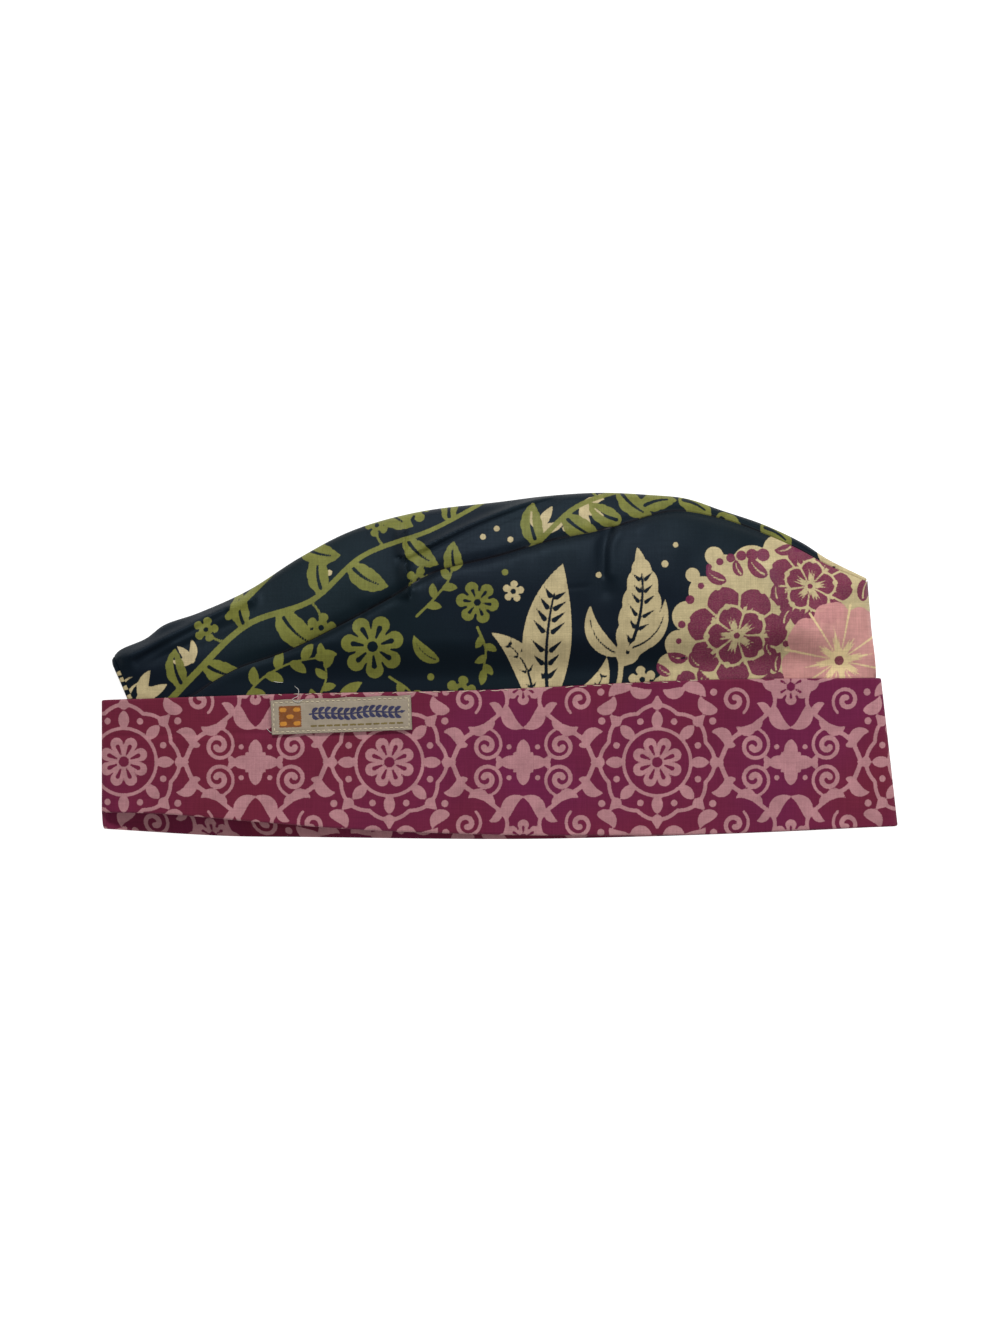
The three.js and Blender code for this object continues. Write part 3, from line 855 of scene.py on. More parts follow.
PLEAT = smooth_line(px([(405, 530), (404.5, 548), (407, 570), (410, 594)]), 24)
SOFT_CREASE = smooth_line(px([(408, 557), (427, 547), (465, 528), (505, 511), (550, 495)]), 40)
SIDE_CREASE = smooth_line(px([(609, 531), (603, 545), (601, 574)]), 20)
PRESS_LINE = px([(566, 589), (594, 587)])
BAND_PRESS_LINE = px([(96, 737), (180, 735), (262, 733)])
# Rolls by the nape, then folds of the front: course, height and spread
FINE_FOLDS = [
    (smooth_line(px(course), count), height, spread)
    for course, count, height, spread in (
        ([(131, 656), (160, 640), (200, 620), (250, 598)], 30, 0.9, 1.6),
        ([(140, 668), (165, 650), (200, 633)], 30, 0.6, 1.5),
        ([(136, 662), (180, 637), (226, 612)], 30, -0.8, 1.3),
        ([(752, 548), (764, 600), (770, 690)], 20, -0.45, 3.2),
        ([(776, 560), (790, 620), (794, 690)], 20, 0.5, 5.0),
        ([(838, 590), (846, 640), (850, 690)], 20, -0.35, 2.6),
        ([(690, 560), (684, 620), (678, 690)], 20, -0.3, 4.5),
    )
]
DENT_LIMIT = -0.6
DENT_BEYOND = 0.25
GATHER_PITCH = 4.1


def left_of(line, x, y):
    """Signed distance across a line: positive on its left in the picture, where it runs down."""
    run = line[-1] - line[0]
    run = run / np.linalg.norm(run)
    return (x - line[0][0]) * run[1] - (y - line[0][1]) * run[0]


def crown_detail(x, y):
    """Millimetres of fine relief on the near side of the crown."""
    total = 0.45 * swell(x, y) + 0.2 * ripple(x, y) + 0.06 * crumple(x, y)
    from_seam = distance_to(seam[::4], x, y)
    total = total + 0.36 * ripple(3.1 * x, 0.6 * y) * hill(from_seam, 6.0) - 0.45 * hill(from_seam, 1.2)
    # The pleat rises slowly from the left and ends in a steep edge on the right
    across = left_of(PLEAT, x, y)
    off = distance_to(PLEAT, x, y)
    near_line = np.sqrt(np.maximum(off**2 - across**2, 0))
    lap = np.where(across > 0, np.exp(-across / 5.5), np.exp(-((across / 0.5) ** 2)))
    total = total + 1.5 * lap * hill(near_line, 1.6) - 0.7 * hill(off, 1.4) * (across < 0)
    off = distance_to(SOFT_CREASE, x, y)
    above = y - np.interp(x, SOFT_CREASE[:, 0], SOFT_CREASE[:, 1])
    total = total + 1.3 * hill(off, 1.3) - 1.05 * hill(off - 2.2, 1.8) * (above < 0)
    for line, height, spread in FINE_FOLDS:
        total = total + height * hill(distance_to(line, x, y), spread)
    total = total - 1.0 * hill(distance_to(SIDE_CREASE, x, y), 1.8)
    total = total + 0.8 * hill(distance_to(SIDE_CREASE, x - 3.2, y), 2.4)
    total = total - 0.22 * hill(distance_to(PRESS_LINE, x, y), 0.9)
    # Past the limit a dent deepens slowly, so that it stays within the cloth's thickness
    total = np.where(total < DENT_LIMIT, DENT_LIMIT + DENT_BEYOND * (total - DENT_LIMIT), total)
    # Gathers that fan out of the nape's hem
    run = nape_edge[1] - nape_edge[0]
    along = ((x - nape_edge[0][0]) * run[0] + (y - nape_edge[0][1]) * run[1]) / np.linalg.norm(run)
    gather = np.cos(2 * np.pi * along / GATHER_PITCH + 1.3 * ripple(x, y))
    return total + 0.38 * gather * np.exp(-distance_to(nape_edge, x, y) / 8.0)


nape_edge = np.array([ridge[0], seam[0]])


def share_from_nape(line, distance):
    fine = resample(line, 641)
    away = distance_to(nape_edge, fine[:, 0], fine[:, 1])
    return int(np.argmax(away >= distance)) / 640


def along_line(line, shares):
    """Points of a line at shares of its length."""
    steps = np.hypot(*np.diff(line, axis=0).T)
    run = np.concatenate([[0], np.cumsum(steps)])
    wanted = np.asarray(shares) * run[-1]
    return np.column_stack([np.interp(wanted, run, line[:, k]) for k in range(2)])


def line_length(line):
    return float(np.hypot(*np.diff(line, axis=0).T).sum())


def crowded(steps, power):
    return np.linspace(0, 1, steps + 1) ** power


def towards(a, b, distance):
    """Points a distance on from a towards b, row by row."""
    gap = np.linalg.norm(b - a, axis=-1, keepdims=True)
    return a + (b - a) * np.minimum(distance / gap, 1)


def with_height(flat, near, detail):
    z = crown_height(flat[..., 0], flat[..., 1], near, detail if near else None)
    return np.concatenate([flat, z[..., None]], axis=-1)


COLUMNS = 440
hem_run = HEM_WIDTH + HEM_GAP
seam_start = share_from_nape(seam, hem_run)
corner_share = CORNER_RUN / line_length(seam)
tip_share = TIP_RUN / line_length(seam)
ridge_start = share_from_nape(ridge, hem_run)


def lower(face, core, distance, radius):
    """Sink the face of a shell towards its core near an edge, to round the edge off."""
    down = normals_of(core, False)
    return face - down * rounded(distance, radius)[..., None]


def section_grid(on_ridge, edge, near_rows, far_rows, detail):
    """Columns that run from the near seam over the ridge to the far seam."""
    near = crowded(near_rows, 1.45)[::-1]
    far = crowded(far_rows, 1.6)[1:]
    span = edge - on_ridge
    start = on_ridge[:, None]
    near_flat = start + near[None, :, None] * span[:, None]
    far_reach = far[None, :, None] * span[:, None]
    near_half = with_height(near_flat, True, detail)
    far_half = with_height(start + far_reach, False, None)
    grid = np.concatenate([near_half, far_half], axis=1)
    unrolled = np.concatenate([near_flat, start - far_reach], axis=1)
    return grid, unrolled


def make_top_panel():
    shares = np.linspace(0, 1, COLUMNS + 1)
    on_seam = along_line(seam, seam_start + (1 - tip_share - seam_start) * shares)
    on_ridge = along_line(ridge, ridge_start + (1 - tip_share - ridge_start) * shares)
    edge = towards(on_seam, on_ridge, SEAM_GAP / 2)
    rows = (50, 26)
    face, unrolled = section_grid(on_ridge, edge, *rows, crown_detail)
    core, _ = section_grid(on_ridge, edge, *rows, None)
    is_near = (np.arange(sum(rows) + 1) <= rows[0])[None, :, None]
    folded = np.where(is_near, unrolled, 2 * on_ridge[:, None] - unrolled)
    to_edge = np.linalg.norm(edge[:, None] - folded, axis=2)
    face = lower(face, core, to_edge, EDGE_ROUND)
    layers = crown_top_print(unrolled)
    return cloth_shell("top_panel_cloth", face, core, CLOTH_WALL, unrolled, layers, edge=to_edge)


def make_side_panel():
    shares = np.linspace(0, 1, COLUMNS + 1)
    on_seam = along_line(seam, seam_start + (1 - corner_share - seam_start) * shares)
    foot_x = x_at(NAPE_FOOT)
    nape_foot = np.array([foot_x, crown_edge(foot_x)])
    first_waist = on_seam[0] + NAPE_WAIST * (nape_foot - on_seam[0])
    waist_x = first_waist[0] + shares * (crease_high[0] - CREASE_FOLD - first_waist[0])
    feet_x = foot_x + shares * (crease_low[0] - CREASE_FOLD - foot_x)
    feet = np.column_stack([feet_x, crown_edge(feet_x)])
    low = on_seam[:, 1] + NAPE_WAIST * (feet[:, 1] - on_seam[:, 1])
    waist = np.column_stack([waist_x, np.minimum(band_top(waist_x) - WAIST_COVER, low)])
    # More columns take the near side round to the front crease
    turn = CREASE_FOLD * (1 - np.sin(np.linspace(0, np.pi / 2, 17)))[1:]
    turn_seam = along_line(seam, 1 - turn / CREASE_FOLD * corner_share)
    turn_waist = np.column_stack([crease_high[0] - turn, np.full(len(turn), crease_high[1])])
    turn_feet = np.column_stack([crease_low[0] - turn, crown_edge(crease_low[0] - turn)])
    seams = np.vstack([on_seam, turn_seam])
    waists = np.vstack([waist, turn_waist])
    feet = np.vstack([feet, turn_feet])
    tops = towards(seams, waists, SEAM_GAP / 2)
    upper = crowded(98, 1.08)[::-1]
    tucked = crowded(8, 1.0)[::-1]
    flat_upper = tops[:, None] + upper[None, :, None] * (waists - tops)[:, None]
    flat_tucked = waists[:, None] + tucked[None, :-1, None] * (feet - waists)[:, None]
    flat = np.concatenate([flat_tucked, flat_upper], axis=1)
    # The far side repeats the near one with fewer columns
    last = len(flat) - 1
    flats = len(on_seam)
    far_pick = [*range(last - 1, flats - 1, -1), *range(flats - 1, -1, -2)]
    if far_pick[-1] != 0:
        far_pick.append(0)
    far_flat = flat[far_pick]
    far_half = with_height(far_flat, False, None)
    face = np.concatenate([with_height(flat, True, crown_detail), far_half])
    core = np.concatenate([with_height(flat, True, None), far_half])
    far_x, far_y = far_flat[..., 0], far_flat[..., 1]
    above_x = np.interp(far_y, [crease_high[1], ridge[-1, 1]], [crease_high[0], ridge[-1, 0]])
    crease_x = np.where(far_y > crease_high[1], above_x, band_front_x(far_y) - UNDER_BAND)
    far_unrolled = np.stack([2 * crease_x - far_x, far_y], axis=-1)
    unrolled = np.concatenate([flat, far_unrolled])
    both = np.concatenate([flat, far_flat])
    to_seam = np.linalg.norm(both - np.concatenate([tops, tops[far_pick]])[:, None], axis=2)
    face = lower(face, core, to_seam, SIDE_EDGE_ROUND)
    groove = SIDE_GROOVE * hill(to_seam, SIDE_GROOVE_SPREAD)
    face[..., 2] -= np.where(face[..., 2] > BAND_LOFT / 2, groove, 0)
    layers = crown_side_print(unrolled)
    return cloth_shell("side_panel_cloth", face, core, CLOTH_WALL, unrolled, layers, edge=to_seam)


STRIPES_FROM = 5.0
STRIPE_PITCH = (2.2, 4.4)


def make_hem():
    """The nape's gathered hem, with a thread-like rib at each pitch."""
    widths = np.linspace(0, HEM_WIDTH, 9)
    on_ridge = along_line(ridge, [share_from_nape(ridge, w) for w in widths])
    on_seam = along_line(seam, [share_from_nape(seam, w) for w in widths])
    reach = np.linalg.norm(nape_edge[1] - nape_edge[0])

    def ribs(x, y):
        from_ridge = np.hypot(x - nape_edge[0][0], y - nape_edge[0][1])
        wave = np.cos(2 * np.pi * from_ridge / RIB_PITCH + 0.6 * ripple(x, y))
        return 0.24 * wave * ease(from_ridge / 5) + 0.1 * ripple(2 * x, 2 * y)

    rows = (110, 40)
    face, unrolled = section_grid(on_ridge, on_seam, *rows, ribs)
    core, _ = section_grid(on_ridge, on_seam, *rows, None)
    across = np.broadcast_to(widths[:, None], face.shape[:2])
    face = lower(face, core, np.minimum(across, HEM_WIDTH - across), HEM_ROUND)
    # Gold stripes cross the hem on both its sides
    art = Print(unrolled, CROWN_COLOURS)
    way = (nape_edge[1] - nape_edge[0]) / reach
    off = 3 * np.array([way[1], -way[0]])
    along = STRIPES_FROM
    while along < reach:
        foot = nape_edge[0] + along * way
        for sign in (-1, 1):
            art.stroke("gold", [foot + sign * off + 0.8 * way, foot - sign * off], [0.75, 0.5])
        along += rng.uniform(*STRIPE_PITCH)
    inner = (range(0, len(face), 4), range(0, face.shape[1], 4))
    return cloth_shell("nape_hem", face, core, HEM_WALL, unrolled, art.layers, inner=inner)


band_wave = noise_field(21, 24)
band_fine = noise_field(22, 8)


def band_detail(x, y):
    """Millimetres of fine relief on the band's near side."""
    total = 0.22 * band_wave(x, y) + 0.08 * band_fine(x, y)
    total = total - 0.22 * hill(distance_to(BAND_PRESS_LINE, x, y), 0.9)
    return total + 0.12 * hill(distance_to(BAND_PRESS_LINE - (0, 2.0), x, y), 1.6)


def make_band():
    near_columns, rows = 470, 90
    far_columns = (70, 226)
    # The far side's columns are finer towards the back, where a strip of it shows
    far_middle = 0.45
    coarse = np.linspace(1, far_middle, far_columns[0], endpoint=False)
    far_shares = np.append(coarse, np.linspace(far_middle, 0, far_columns[1]))
    turns = 1 - np.sin(np.linspace(0, np.pi / 2, 11))
    # Rows crowd by both edges, which are rounded off
    margins = np.array([0, 0.18, 0.4, 0.7, 1.2]) / BAND_HEIGHT
    between = np.linspace(margins[-1], 1 - margins[-1], rows)
    shares = np.concatenate([margins[:-1], between, 1 - margins[-2::-1]])
    start = back_x + BACK_FOLD

    def column(kind, value, near, turn):
        if kind == "back":
            guess_x = back_x + value
        elif kind == "front":
            guess_x = band_front_x(BAND_MIDDLE) - value
        else:
            guess_x = start + value * (CAP_LENGTH - BACK_FOLD - FRONT_FOLD - FRONT_LEAN)
        low = near_edge(guess_x) * (1 - turn) + far_edge(guess_x) * turn
        high = band_top(guess_x)
        y = low + shares * (high - low)
        front_x = band_front_x(y)
        if kind == "back":
            x = np.full_like(y, guess_x)
        elif kind == "front":
            x = front_x - value
        else:
            x = start + value * (front_x - FRONT_FOLD - start)
        z = band_height(x, y, near)
        fade = np.clip(np.minimum(x - back_x, front_x - x) / FOLD_FADE, 0, 1)
        fine = band_detail(x, y) * fade if near else 0 * y
        u = x if near else 2 * front_x - x
        face = np.column_stack([x, y, z + fine])
        core = np.column_stack([x, y, z])
        return face, core, np.column_stack([u, y]), np.minimum(y - low, high - y)

    last = len(turns) - 1
    plan = [("back", BACK_FOLD * turns[k], True, 0.0) for k in range(last - 1, -1, -1)]
    plan += [("flat", v, True, 0.0) for v in np.linspace(0, 1, near_columns + 1)[1:-1]]
    plan += [("front", FRONT_FOLD * turns[k], True, 0.5 * k / last) for k in range(last + 1)]
    plan += [("front", FRONT_FOLD * turns[k], False, 1 - 0.5 * k / last) for k in range(last - 1, -1, -1)]
    far_start = len(plan)
    plan += [("flat", v, False, 1.0) for v in far_shares[1:-1]]
    # The back fold's lower corner is square: the hem drops to the far edge as the fold turns under
    drop = smoothstep(np.arange(last, -1, -1), -0.5, 4)
    plan += [("back", BACK_FOLD * turns[k], False, drop[k]) for k in range(last + 1)]
    made = [column(*entry) for entry in plan]
    face, core, unrolled, to_edge = (np.stack([m[k] for m in made]) for k in range(4))
    face = face - normals_of(core, True) * rounded(to_edge, BAND_ROUND)[..., None]
    # The doubled cloth shows its right side inside too, so the far half's inner face is fine
    fine_columns = [*range(0, far_start, 6), *range(far_start, len(plan))]
    fine_rows = [*range(16), *range(16, face.shape[1], 2)]
    return cloth_shell(
        "band_cloth", face, core, BAND_WALL, unrolled, band_print(unrolled),
        closed=True, inner=(fine_columns, fine_rows), edge=to_edge, reverse=0.0,
    )


def label_flat(u, v):
    """A place on the label as a place in the plane."""
    c, s = math.cos(LABEL_TILT), math.sin(LABEL_TILT)
    return np.stack([LABEL_AT[0] + u * c - v * s, LABEL_AT[1] + u * s + v * c], axis=-1)


def label_base(flat):
    """Height of the flat label's face over the band."""
    return band_height(flat[..., 0], flat[..., 1], True) + LABEL_GAP + LABEL_WALL


def from_label_edge(u, v):
    return np.minimum(LABEL_LENGTH / 2 - np.abs(u), LABEL_WIDTH / 2 - np.abs(v))


def label_height(u, v):
    """Height of the label's face, with its puckers between stitches."""
    pucker = 0.16 * np.sin(u * 0.62 + 0.7 * np.sin(0.3 * u + v)) * np.cos(0.16 * v)
    dip = 0.18 * hill(from_label_edge(u, v) - STITCH_INSET, 0.6)
    return label_base(label_flat(u, v)) + pucker - dip


def make_label():
    steps = (200, 52)
    half_length, half_width = LABEL_LENGTH / 2, LABEL_WIDTH / 2
    u, v = np.meshgrid(
        np.linspace(-half_length, half_length, steps[0] + 1),
        np.linspace(-half_width, half_width, steps[1] + 1),
        indexing="ij",
    )
    wave = 0.14 * np.sin(0.55 * u) * (v > 0) * (v / half_width) ** 6
    flat = label_flat(u, v + wave)
    core = np.concatenate([flat, label_base(flat)[..., None]], axis=-1)
    face = np.concatenate([flat, label_height(u, v)[..., None]], axis=-1)
    to_edge = from_label_edge(u, v)
    face[..., 2] -= rounded(to_edge, LABEL_ROUND)
    cloth = np.stack([u, v], axis=-1)
    return cloth_shell("label_ribbon", face, core, LABEL_WALL, cloth, label_print(cloth), edge=to_edge)


def threads(name, paths, radius, sides=6):
    """Fine round threads, one closed tube along each path, in one mesh."""
    vertices, faces = [], []
    for path in paths:
        path = np.asarray(path, float)
        count = len(path)
        run = np.gradient(path, axis=0)
        run = run / np.linalg.norm(run, axis=1, keepdims=True)
        side = np.cross(run, (0, 0, 1))
        side = side / np.maximum(np.linalg.norm(side, axis=1, keepdims=True), 1e-6)
        lift = np.cross(side, run)
        t = np.linspace(0, 1, count)
        thick = radius * np.sqrt(np.clip(1 - (2 * t - 1) ** 6, 0.12, 1))
        starts = [len(vertices) + k * count for k in range(sides)]
        for a in ways_round(sides):
            ring = path + thick[:, None] * (math.cos(a) * side + math.sin(a) * lift)
            vertices += ring.tolist()
        for p, q in zip(starts, starts[1:] + starts[:1]):
            faces += [(p + i, p + i + 1, q + i + 1, q + i) for i in range(count - 1)]
        faces.append(tuple(starts))
        faces.append(tuple(p + count - 1 for p in reversed(starts)))
    return link_object(name, new_mesh(name, vertices, faces))


def label_stitches():
    """Small stitches round the label's border."""
    paths = []
    half_length, half_width = LABEL_LENGTH / 2 - STITCH_INSET, LABEL_WIDTH / 2 - STITCH_INSET
    corners = [half_length, half_width] * np.array([(-1, -1), (1, -1), (1, 1), (-1, 1)])
    for a, b in zip(corners, np.roll(corners, -1, axis=0)):
        count = int(round(np.linalg.norm(b - a) / STITCH_PITCH))
        for i in range(count):
            t = np.linspace((i + 0.14) / count, (i + 0.86) / count, 7)
            line = a + t[:, None] * (b - a) + rng.normal(0, 0.05, 2)
            z = label_height(*line.T) - rounded(STITCH_INSET, LABEL_ROUND)
            z = z + 0.16 * np.sin(np.linspace(0, np.pi, 7)) + 0.02
            paths.append(np.column_stack([label_flat(*line.T), z]))
    return paths


def loose_threads():
    """The stray ends that lie by the label and on the crown."""
    bit = smooth_line(px([(274.5, 681.4), (279, 682.3), (284, 682.6)]), 12)
    tail = smooth_line(px([(296, 686), (300, 690), (299, 696), (294, 699), (299, 702), (305, 699)]), 30)
    low = smooth_line(px([(268, 728), (272, 732), (277, 733)]), 12)
    heights = (
        crown_height(*bit.T, True, crown_detail) + 0.25,
        band_height(*tail.T, True) + 1.6,
        band_height(*low.T, True) + band_detail(*low.T) + 0.3,
    )
    return [np.column_stack([flat, z]) for flat, z in zip((bit, tail, low), heights)]


EDGING_REACH = (0.2, 0.74)
EDGING_RUN = (1.2, 3.8)
EDGING_GAP = (0.6, 5.0)


def band_edging():
    """Stitches and lifted threads along the top edge of the band's near side."""
    paths = []
    x, last = (x_at(share) for share in EDGING_REACH)
    while x < last:
        span = rng.uniform(*EDGING_RUN)
        steps = np.linspace(x, x + span, 6)
        y = band_top(steps) - 0.28 + 0.16 * np.sin(np.linspace(0, 3, 6) + x)
        z = band_height(steps, y, True) + band_detail(steps, y) + 0.04
        paths.append(np.column_stack([steps, y, z]))
        x += span + rng.uniform(*EDGING_GAP)
    return paths


# Materials


SPECULAR_TINT = (0.6, 0.8, 1.0, 1.0)
WORN_CLOTH = (150, 130, 130)
WRONG_SIDE = (92, 90, 94)
DARK_THREAD = 0.72


def linear(rgb):
    """A colour given as 8-bit sRGB, as linear light."""
    shares = [c / 255 for c in rgb]
    return (*(c / 12.92 if c <= 0.04045 else ((c + 0.055) / 1.055) ** 2.4 for c in shares), 1.0)


class Nodes:
    """Short calls for building a node tree."""

    def __init__(self, name):
        self.material = bpy.data.materials.new(name)
        self.material.use_nodes = True
        self.tree = self.material.node_tree
        self.tree.nodes.clear()
        self.out = self.new("ShaderNodeOutputMaterial")
        self.shader = self.new("ShaderNodeBsdfPrincipled")
        self.tree.links.new(self.shader.outputs[0], self.out.inputs[0])

    def new(self, kind, **settings):
        node = self.tree.nodes.new(kind)
        for key, value in settings.items():
            setattr(node, key, value)
        return node

    def put(self, socket, value):
        if isinstance(value, bpy.types.NodeSocket):
            self.tree.links.new(value, socket)
        else:
            socket.default_value = value

    def fill(self, node, values):
        """Link or set a node's inputs by name."""
        for key, value in values.items():
            self.put(node.inputs[key], value)
        return node.outputs[0]

    def math(self, operation, *values):
        node = self.new("ShaderNodeMath", operation=operation)
        for socket, value in zip(node.inputs, values):
            self.put(socket, value)
        return node.outputs[0]

    def ramp(self, value, low, high, to_low=0.0, to_high=1.0):
        node = self.new("ShaderNodeMapRange", clamp=True)
        for socket, item in zip(node.inputs, (value, low, high, to_low, to_high)):
            self.put(socket, item)
        return node.outputs[0]

    def mix(self, factor, a, b, blend="MIX"):
        node = self.new("ShaderNodeMix", data_type="RGBA", blend_type=blend)
        for index, value in ((0, factor), (6, a), (7, b)):
            self.put(node.inputs[index], value)
        return node.outputs[2]

    def noise(self, vector, scale, detail=2.0, rough=0.5):
        values = {"Vector": vector, "Scale": scale, "Detail": detail, "Roughness": rough}
        return self.fill(self.new("ShaderNodeTexNoise"), values)

    def attribute(self, name):
        return self.new("ShaderNodeAttribute", attribute_name=name).outputs["Fac"]

    def stretched_noise(self, vector, scale, detail=2.0, rough=0.5):
        node = self.new("ShaderNodeVectorMath", operation="MULTIPLY")
        self.put(node.inputs[0], vector)
        self.put(node.inputs[1], scale)
        return self.noise(node.outputs[0], 1.0, detail, rough)

    def bump(self, height, strength, distance):
        values = {"Height": height, "Strength": strength, "Distance": distance}
        return self.fill(self.new("ShaderNodeBump"), values)


def cotton(
    name, ground, colours, drift=None, slub=0.1, mottle=0.12, sheen=0.12,
    pitch=0.00042, soft=0.12, rough=0.85, gloss=0.12,
):
    """Printed plain-weave cotton: ground colour, then printed colours laid over it in order."""
    n = Nodes(name)
    uv = n.new("ShaderNodeUVMap", uv_map="cloth").outputs[0]
    colour = linear(ground)
    if drift:
        colour = n.mix(n.ramp(n.noise(uv, 13.0), 0.4, 0.66), colour, linear(drift))
    wobble = n.math("MULTIPLY", n.math("SUBTRACT", n.noise(uv, 1500.0, 1.0), 0.5), 0.36)
    # Printed colour sits thinner on some threads, where the ground shows through
    thin = n.ramp(n.stretched_noise(uv, (1500.0, 2600.0, 1.0), 2.0, 0.7), 0.3, 0.62, 0.86, 1.0)
    patch = n.ramp(n.noise(uv, 170.0, 4.0, 0.65), 0.3, 0.7)
    for layer, rgb in colours.items():
        field = n.math("ADD", n.attribute(layer), wobble)
        mask = n.math("MULTIPLY", n.ramp(field, -soft, soft, 1.0, 0.0), thin)
        faded = (*(min(1.0, c * 1.3 + 0.006) for c in linear(rgb)[:3]), 1.0)
        colour = n.mix(mask, colour, n.mix(patch, linear(rgb), faded))
    # Thread-to-thread variation along the warp and the weft, and slow mottling
    warp = n.stretched_noise(uv, (2300.0, 90.0, 1.0))
    weft = n.stretched_noise(uv, (90.0, 2300.0, 1.0))
    yarn = n.math("SUBTRACT", n.math("ADD", warp, weft), 1.0)
    slow = n.math("SUBTRACT", n.noise(uv, 45.0, 5.0, 0.6), 0.5)
    shade = n.math("ADD", 1.0, n.math("MULTIPLY", yarn, 2.2 * slub))
    shade = n.math("ADD", shade, n.math("MULTIPLY", slow, 2.0 * mottle))
    grey = n.new("ShaderNodeCombineColor")
    for socket in grey.inputs[:3]:
        n.put(socket, shade)
    colour = n.mix(1.0, colour, grey.outputs[0], "MULTIPLY")
    # The worn edge is a little paler, and the wrong side of the cloth more so
    wear = n.ramp(n.attribute("edge"), 0.0, 0.7, 0.04, 0.0)
    colour = n.mix(wear, colour, linear(WORN_CLOTH))
    colour = n.mix(n.math("MULTIPLY", n.attribute("inside"), 0.35), colour, linear(WRONG_SIDE))
    # Over-and-under weave
    split = n.new("ShaderNodeSeparateXYZ")
    n.put(split.inputs[0], uv)
    turn = 2 * math.pi / pitch
    waves = [n.math("SINE", n.math("MULTIPLY", split.outputs[k], turn)) for k in (0, 1)]
    weave = n.math("MULTIPLY", n.math("MULTIPLY", *waves), 0.5)
    height = n.math("ADD", weave, n.math("MULTIPLY", yarn, 0.9))
    n.fill(n.shader, {
        "Base Color": colour,
        "Roughness": n.ramp(yarn, -0.4, 0.4, rough + 0.06, rough - 0.06),
        "Sheen Weight": sheen,
        "Sheen Roughness": 0.35,
        "Specular IOR Level": gloss,
        "Specular Tint": SPECULAR_TINT,
        "Normal": n.bump(height, 0.35, 0.00006),
    })
    return n.material


def thread_material(name, rgb):
    n = Nodes(name)
    spot = n.new("ShaderNodeTexCoord").outputs["Object"]
    dark = (*(c * DARK_THREAD for c in linear(rgb)[:3]), 1.0)
    n.fill(n.shader, {
        "Base Color": n.mix(n.noise(spot, 900.0), dark, linear(rgb)),
        "Roughness": 0.6,
        "Sheen Weight": 0.2,
        "Normal": n.bump(n.noise(spot, 4200.0, 1.0), 0.4, 0.00004),
    })
    return n.material


crown_cloth = cotton(
    "crown_cotton", (6, 13, 23), CROWN_COLOURS,
    drift=(5, 18, 21), slub=0.2, mottle=0.24, sheen=0.02, rough=0.54, gloss=0.19,
)
band_cloth = cotton(
    "band_cotton", (105, 33, 52), BAND_COLOURS,
    drift=(103, 31, 64), slub=0.16, mottle=0.16, sheen=0.02,
)
label_satin = cotton(
    "label_satin", (150, 138, 121), LABEL_COLOURS,
    slub=0.08, mottle=0.06, sheen=0.05, pitch=0.0003, soft=0.1, rough=0.5,
)
cream_thread = thread_material("cream_thread", (214, 200, 168))
white_thread = thread_material("white_thread", (200, 196, 190))
pink_thread = thread_material("pink_thread", (214, 184, 166))

# Pieces: each with the node that it replaces, or none, then its slot and material
top_panel = make_top_panel()
side_panel = make_side_panel()
hem = make_hem()
band = make_band()
label = make_label()
stitching = threads("label_stitches", label_stitches(), STITCH_RADIUS)
strays = threads("loose_threads", loose_threads(), STRAY_RADIUS)
edging = threads("band_edging", band_edging(), EDGING_RADIUS)

for piece, node, slot_name, material in (
    (top_panel, "crown_top_panel", "crown_cloth", crown_cloth),
    (side_panel, "crown_side_panel", "crown_cloth", crown_cloth),
    (hem, "back_hem", "crown_cloth", crown_cloth),
    (band, "band", "band_cloth", band_cloth),
    (label, "label", "label_satin", label_satin),
    (stitching, None, "label_satin", cream_thread),
    (strays, None, "label_satin", white_thread),
    (edging, None, "band_cloth", pink_thread),
):
    piece.data.materials.append(material)
    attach(piece, "root")
    if node:
        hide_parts(node)

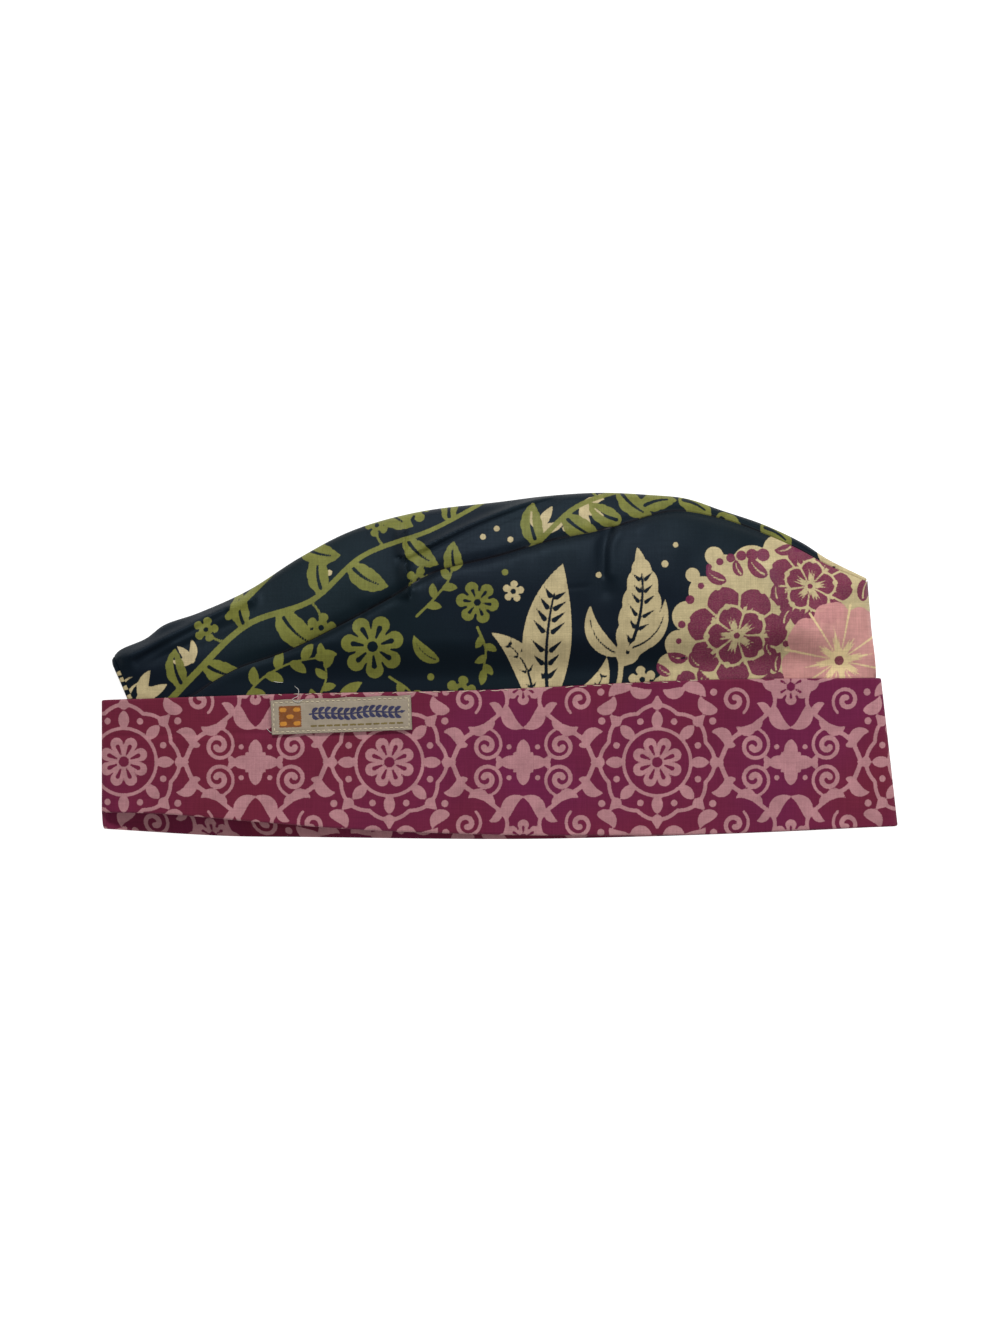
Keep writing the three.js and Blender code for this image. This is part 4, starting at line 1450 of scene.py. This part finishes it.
# Floor, light and camera, in metres and watts
FLOOR_SIZE = 40
FLOOR_DROP = 0.0004
LENS = 85.0
SENSOR = 36.0
FRAME_WIDTH = 0.3655
FRAME_ASPECT = 0.75
CAP_LEVEL = 0.007
CAMERA_SHIFT = 0.0002
FLOOR_GLOW = 0.92
WORLD_LIGHT = 0.27
CAMERA_HEIGHT = CAP_LEVEL + FRAME_WIDTH * LENS / (SENSOR * FRAME_ASPECT)

bpy.ops.mesh.primitive_plane_add(size=FLOOR_SIZE, location=(0, 0, -FLOOR_DROP))
floor = bpy.context.object
floor.name = "floor"
paper = Nodes("paper")
paper.fill(paper.shader, {
    "Base Color": (0.4, 0.4, 0.4, 1),
    "Emission Color": (1.0, 1.0, 1.0, 1),
    "Emission Strength": FLOOR_GLOW,
    "Roughness": 0.9,
})
floor.data.materials.append(paper.material)

scene = bpy.context.scene
scene.view_settings.view_transform = "Standard"
scene.view_settings.look = "None"
scene.world = bpy.data.worlds.new("studio")
scene.world.use_nodes = True
background = scene.world.node_tree.nodes["Background"]
background.inputs["Color"].default_value = (1.0, 1.0, 1.0, 1)
background.inputs["Strength"].default_value = WORLD_LIGHT


def area_light(name, location, aim, size, power):
    data = bpy.data.lights.new(name, "AREA")
    data.shape = "DISK"
    data.size = size
    data.energy = power
    lamp = link_object(name, data)
    lamp.location = location
    direction = np.asarray(aim) - np.asarray(location)
    yaw = angle_of(direction)
    pitch = math.acos(-direction[2] / np.linalg.norm(direction))
    lamp.rotation_euler = (pitch, 0, yaw - math.pi / 2)


area_light("key", (-0.3, 2.05, 1.9), (0.15, 0, 0), 0.5, 55)
area_light("fill", (1.7, -0.3, 1.9), (0.1, 0, 0), 1.0, 23)

camera_data = bpy.data.cameras.new("camera")
camera_data.lens = LENS
camera_data.sensor_fit = "VERTICAL"
camera_data.sensor_height = SENSOR
camera_data.clip_end = 20
camera = link_object("camera", camera_data)
camera.location = (CAMERA_SHIFT, -CAMERA_SHIFT, CAMERA_HEIGHT)
scene.camera = camera
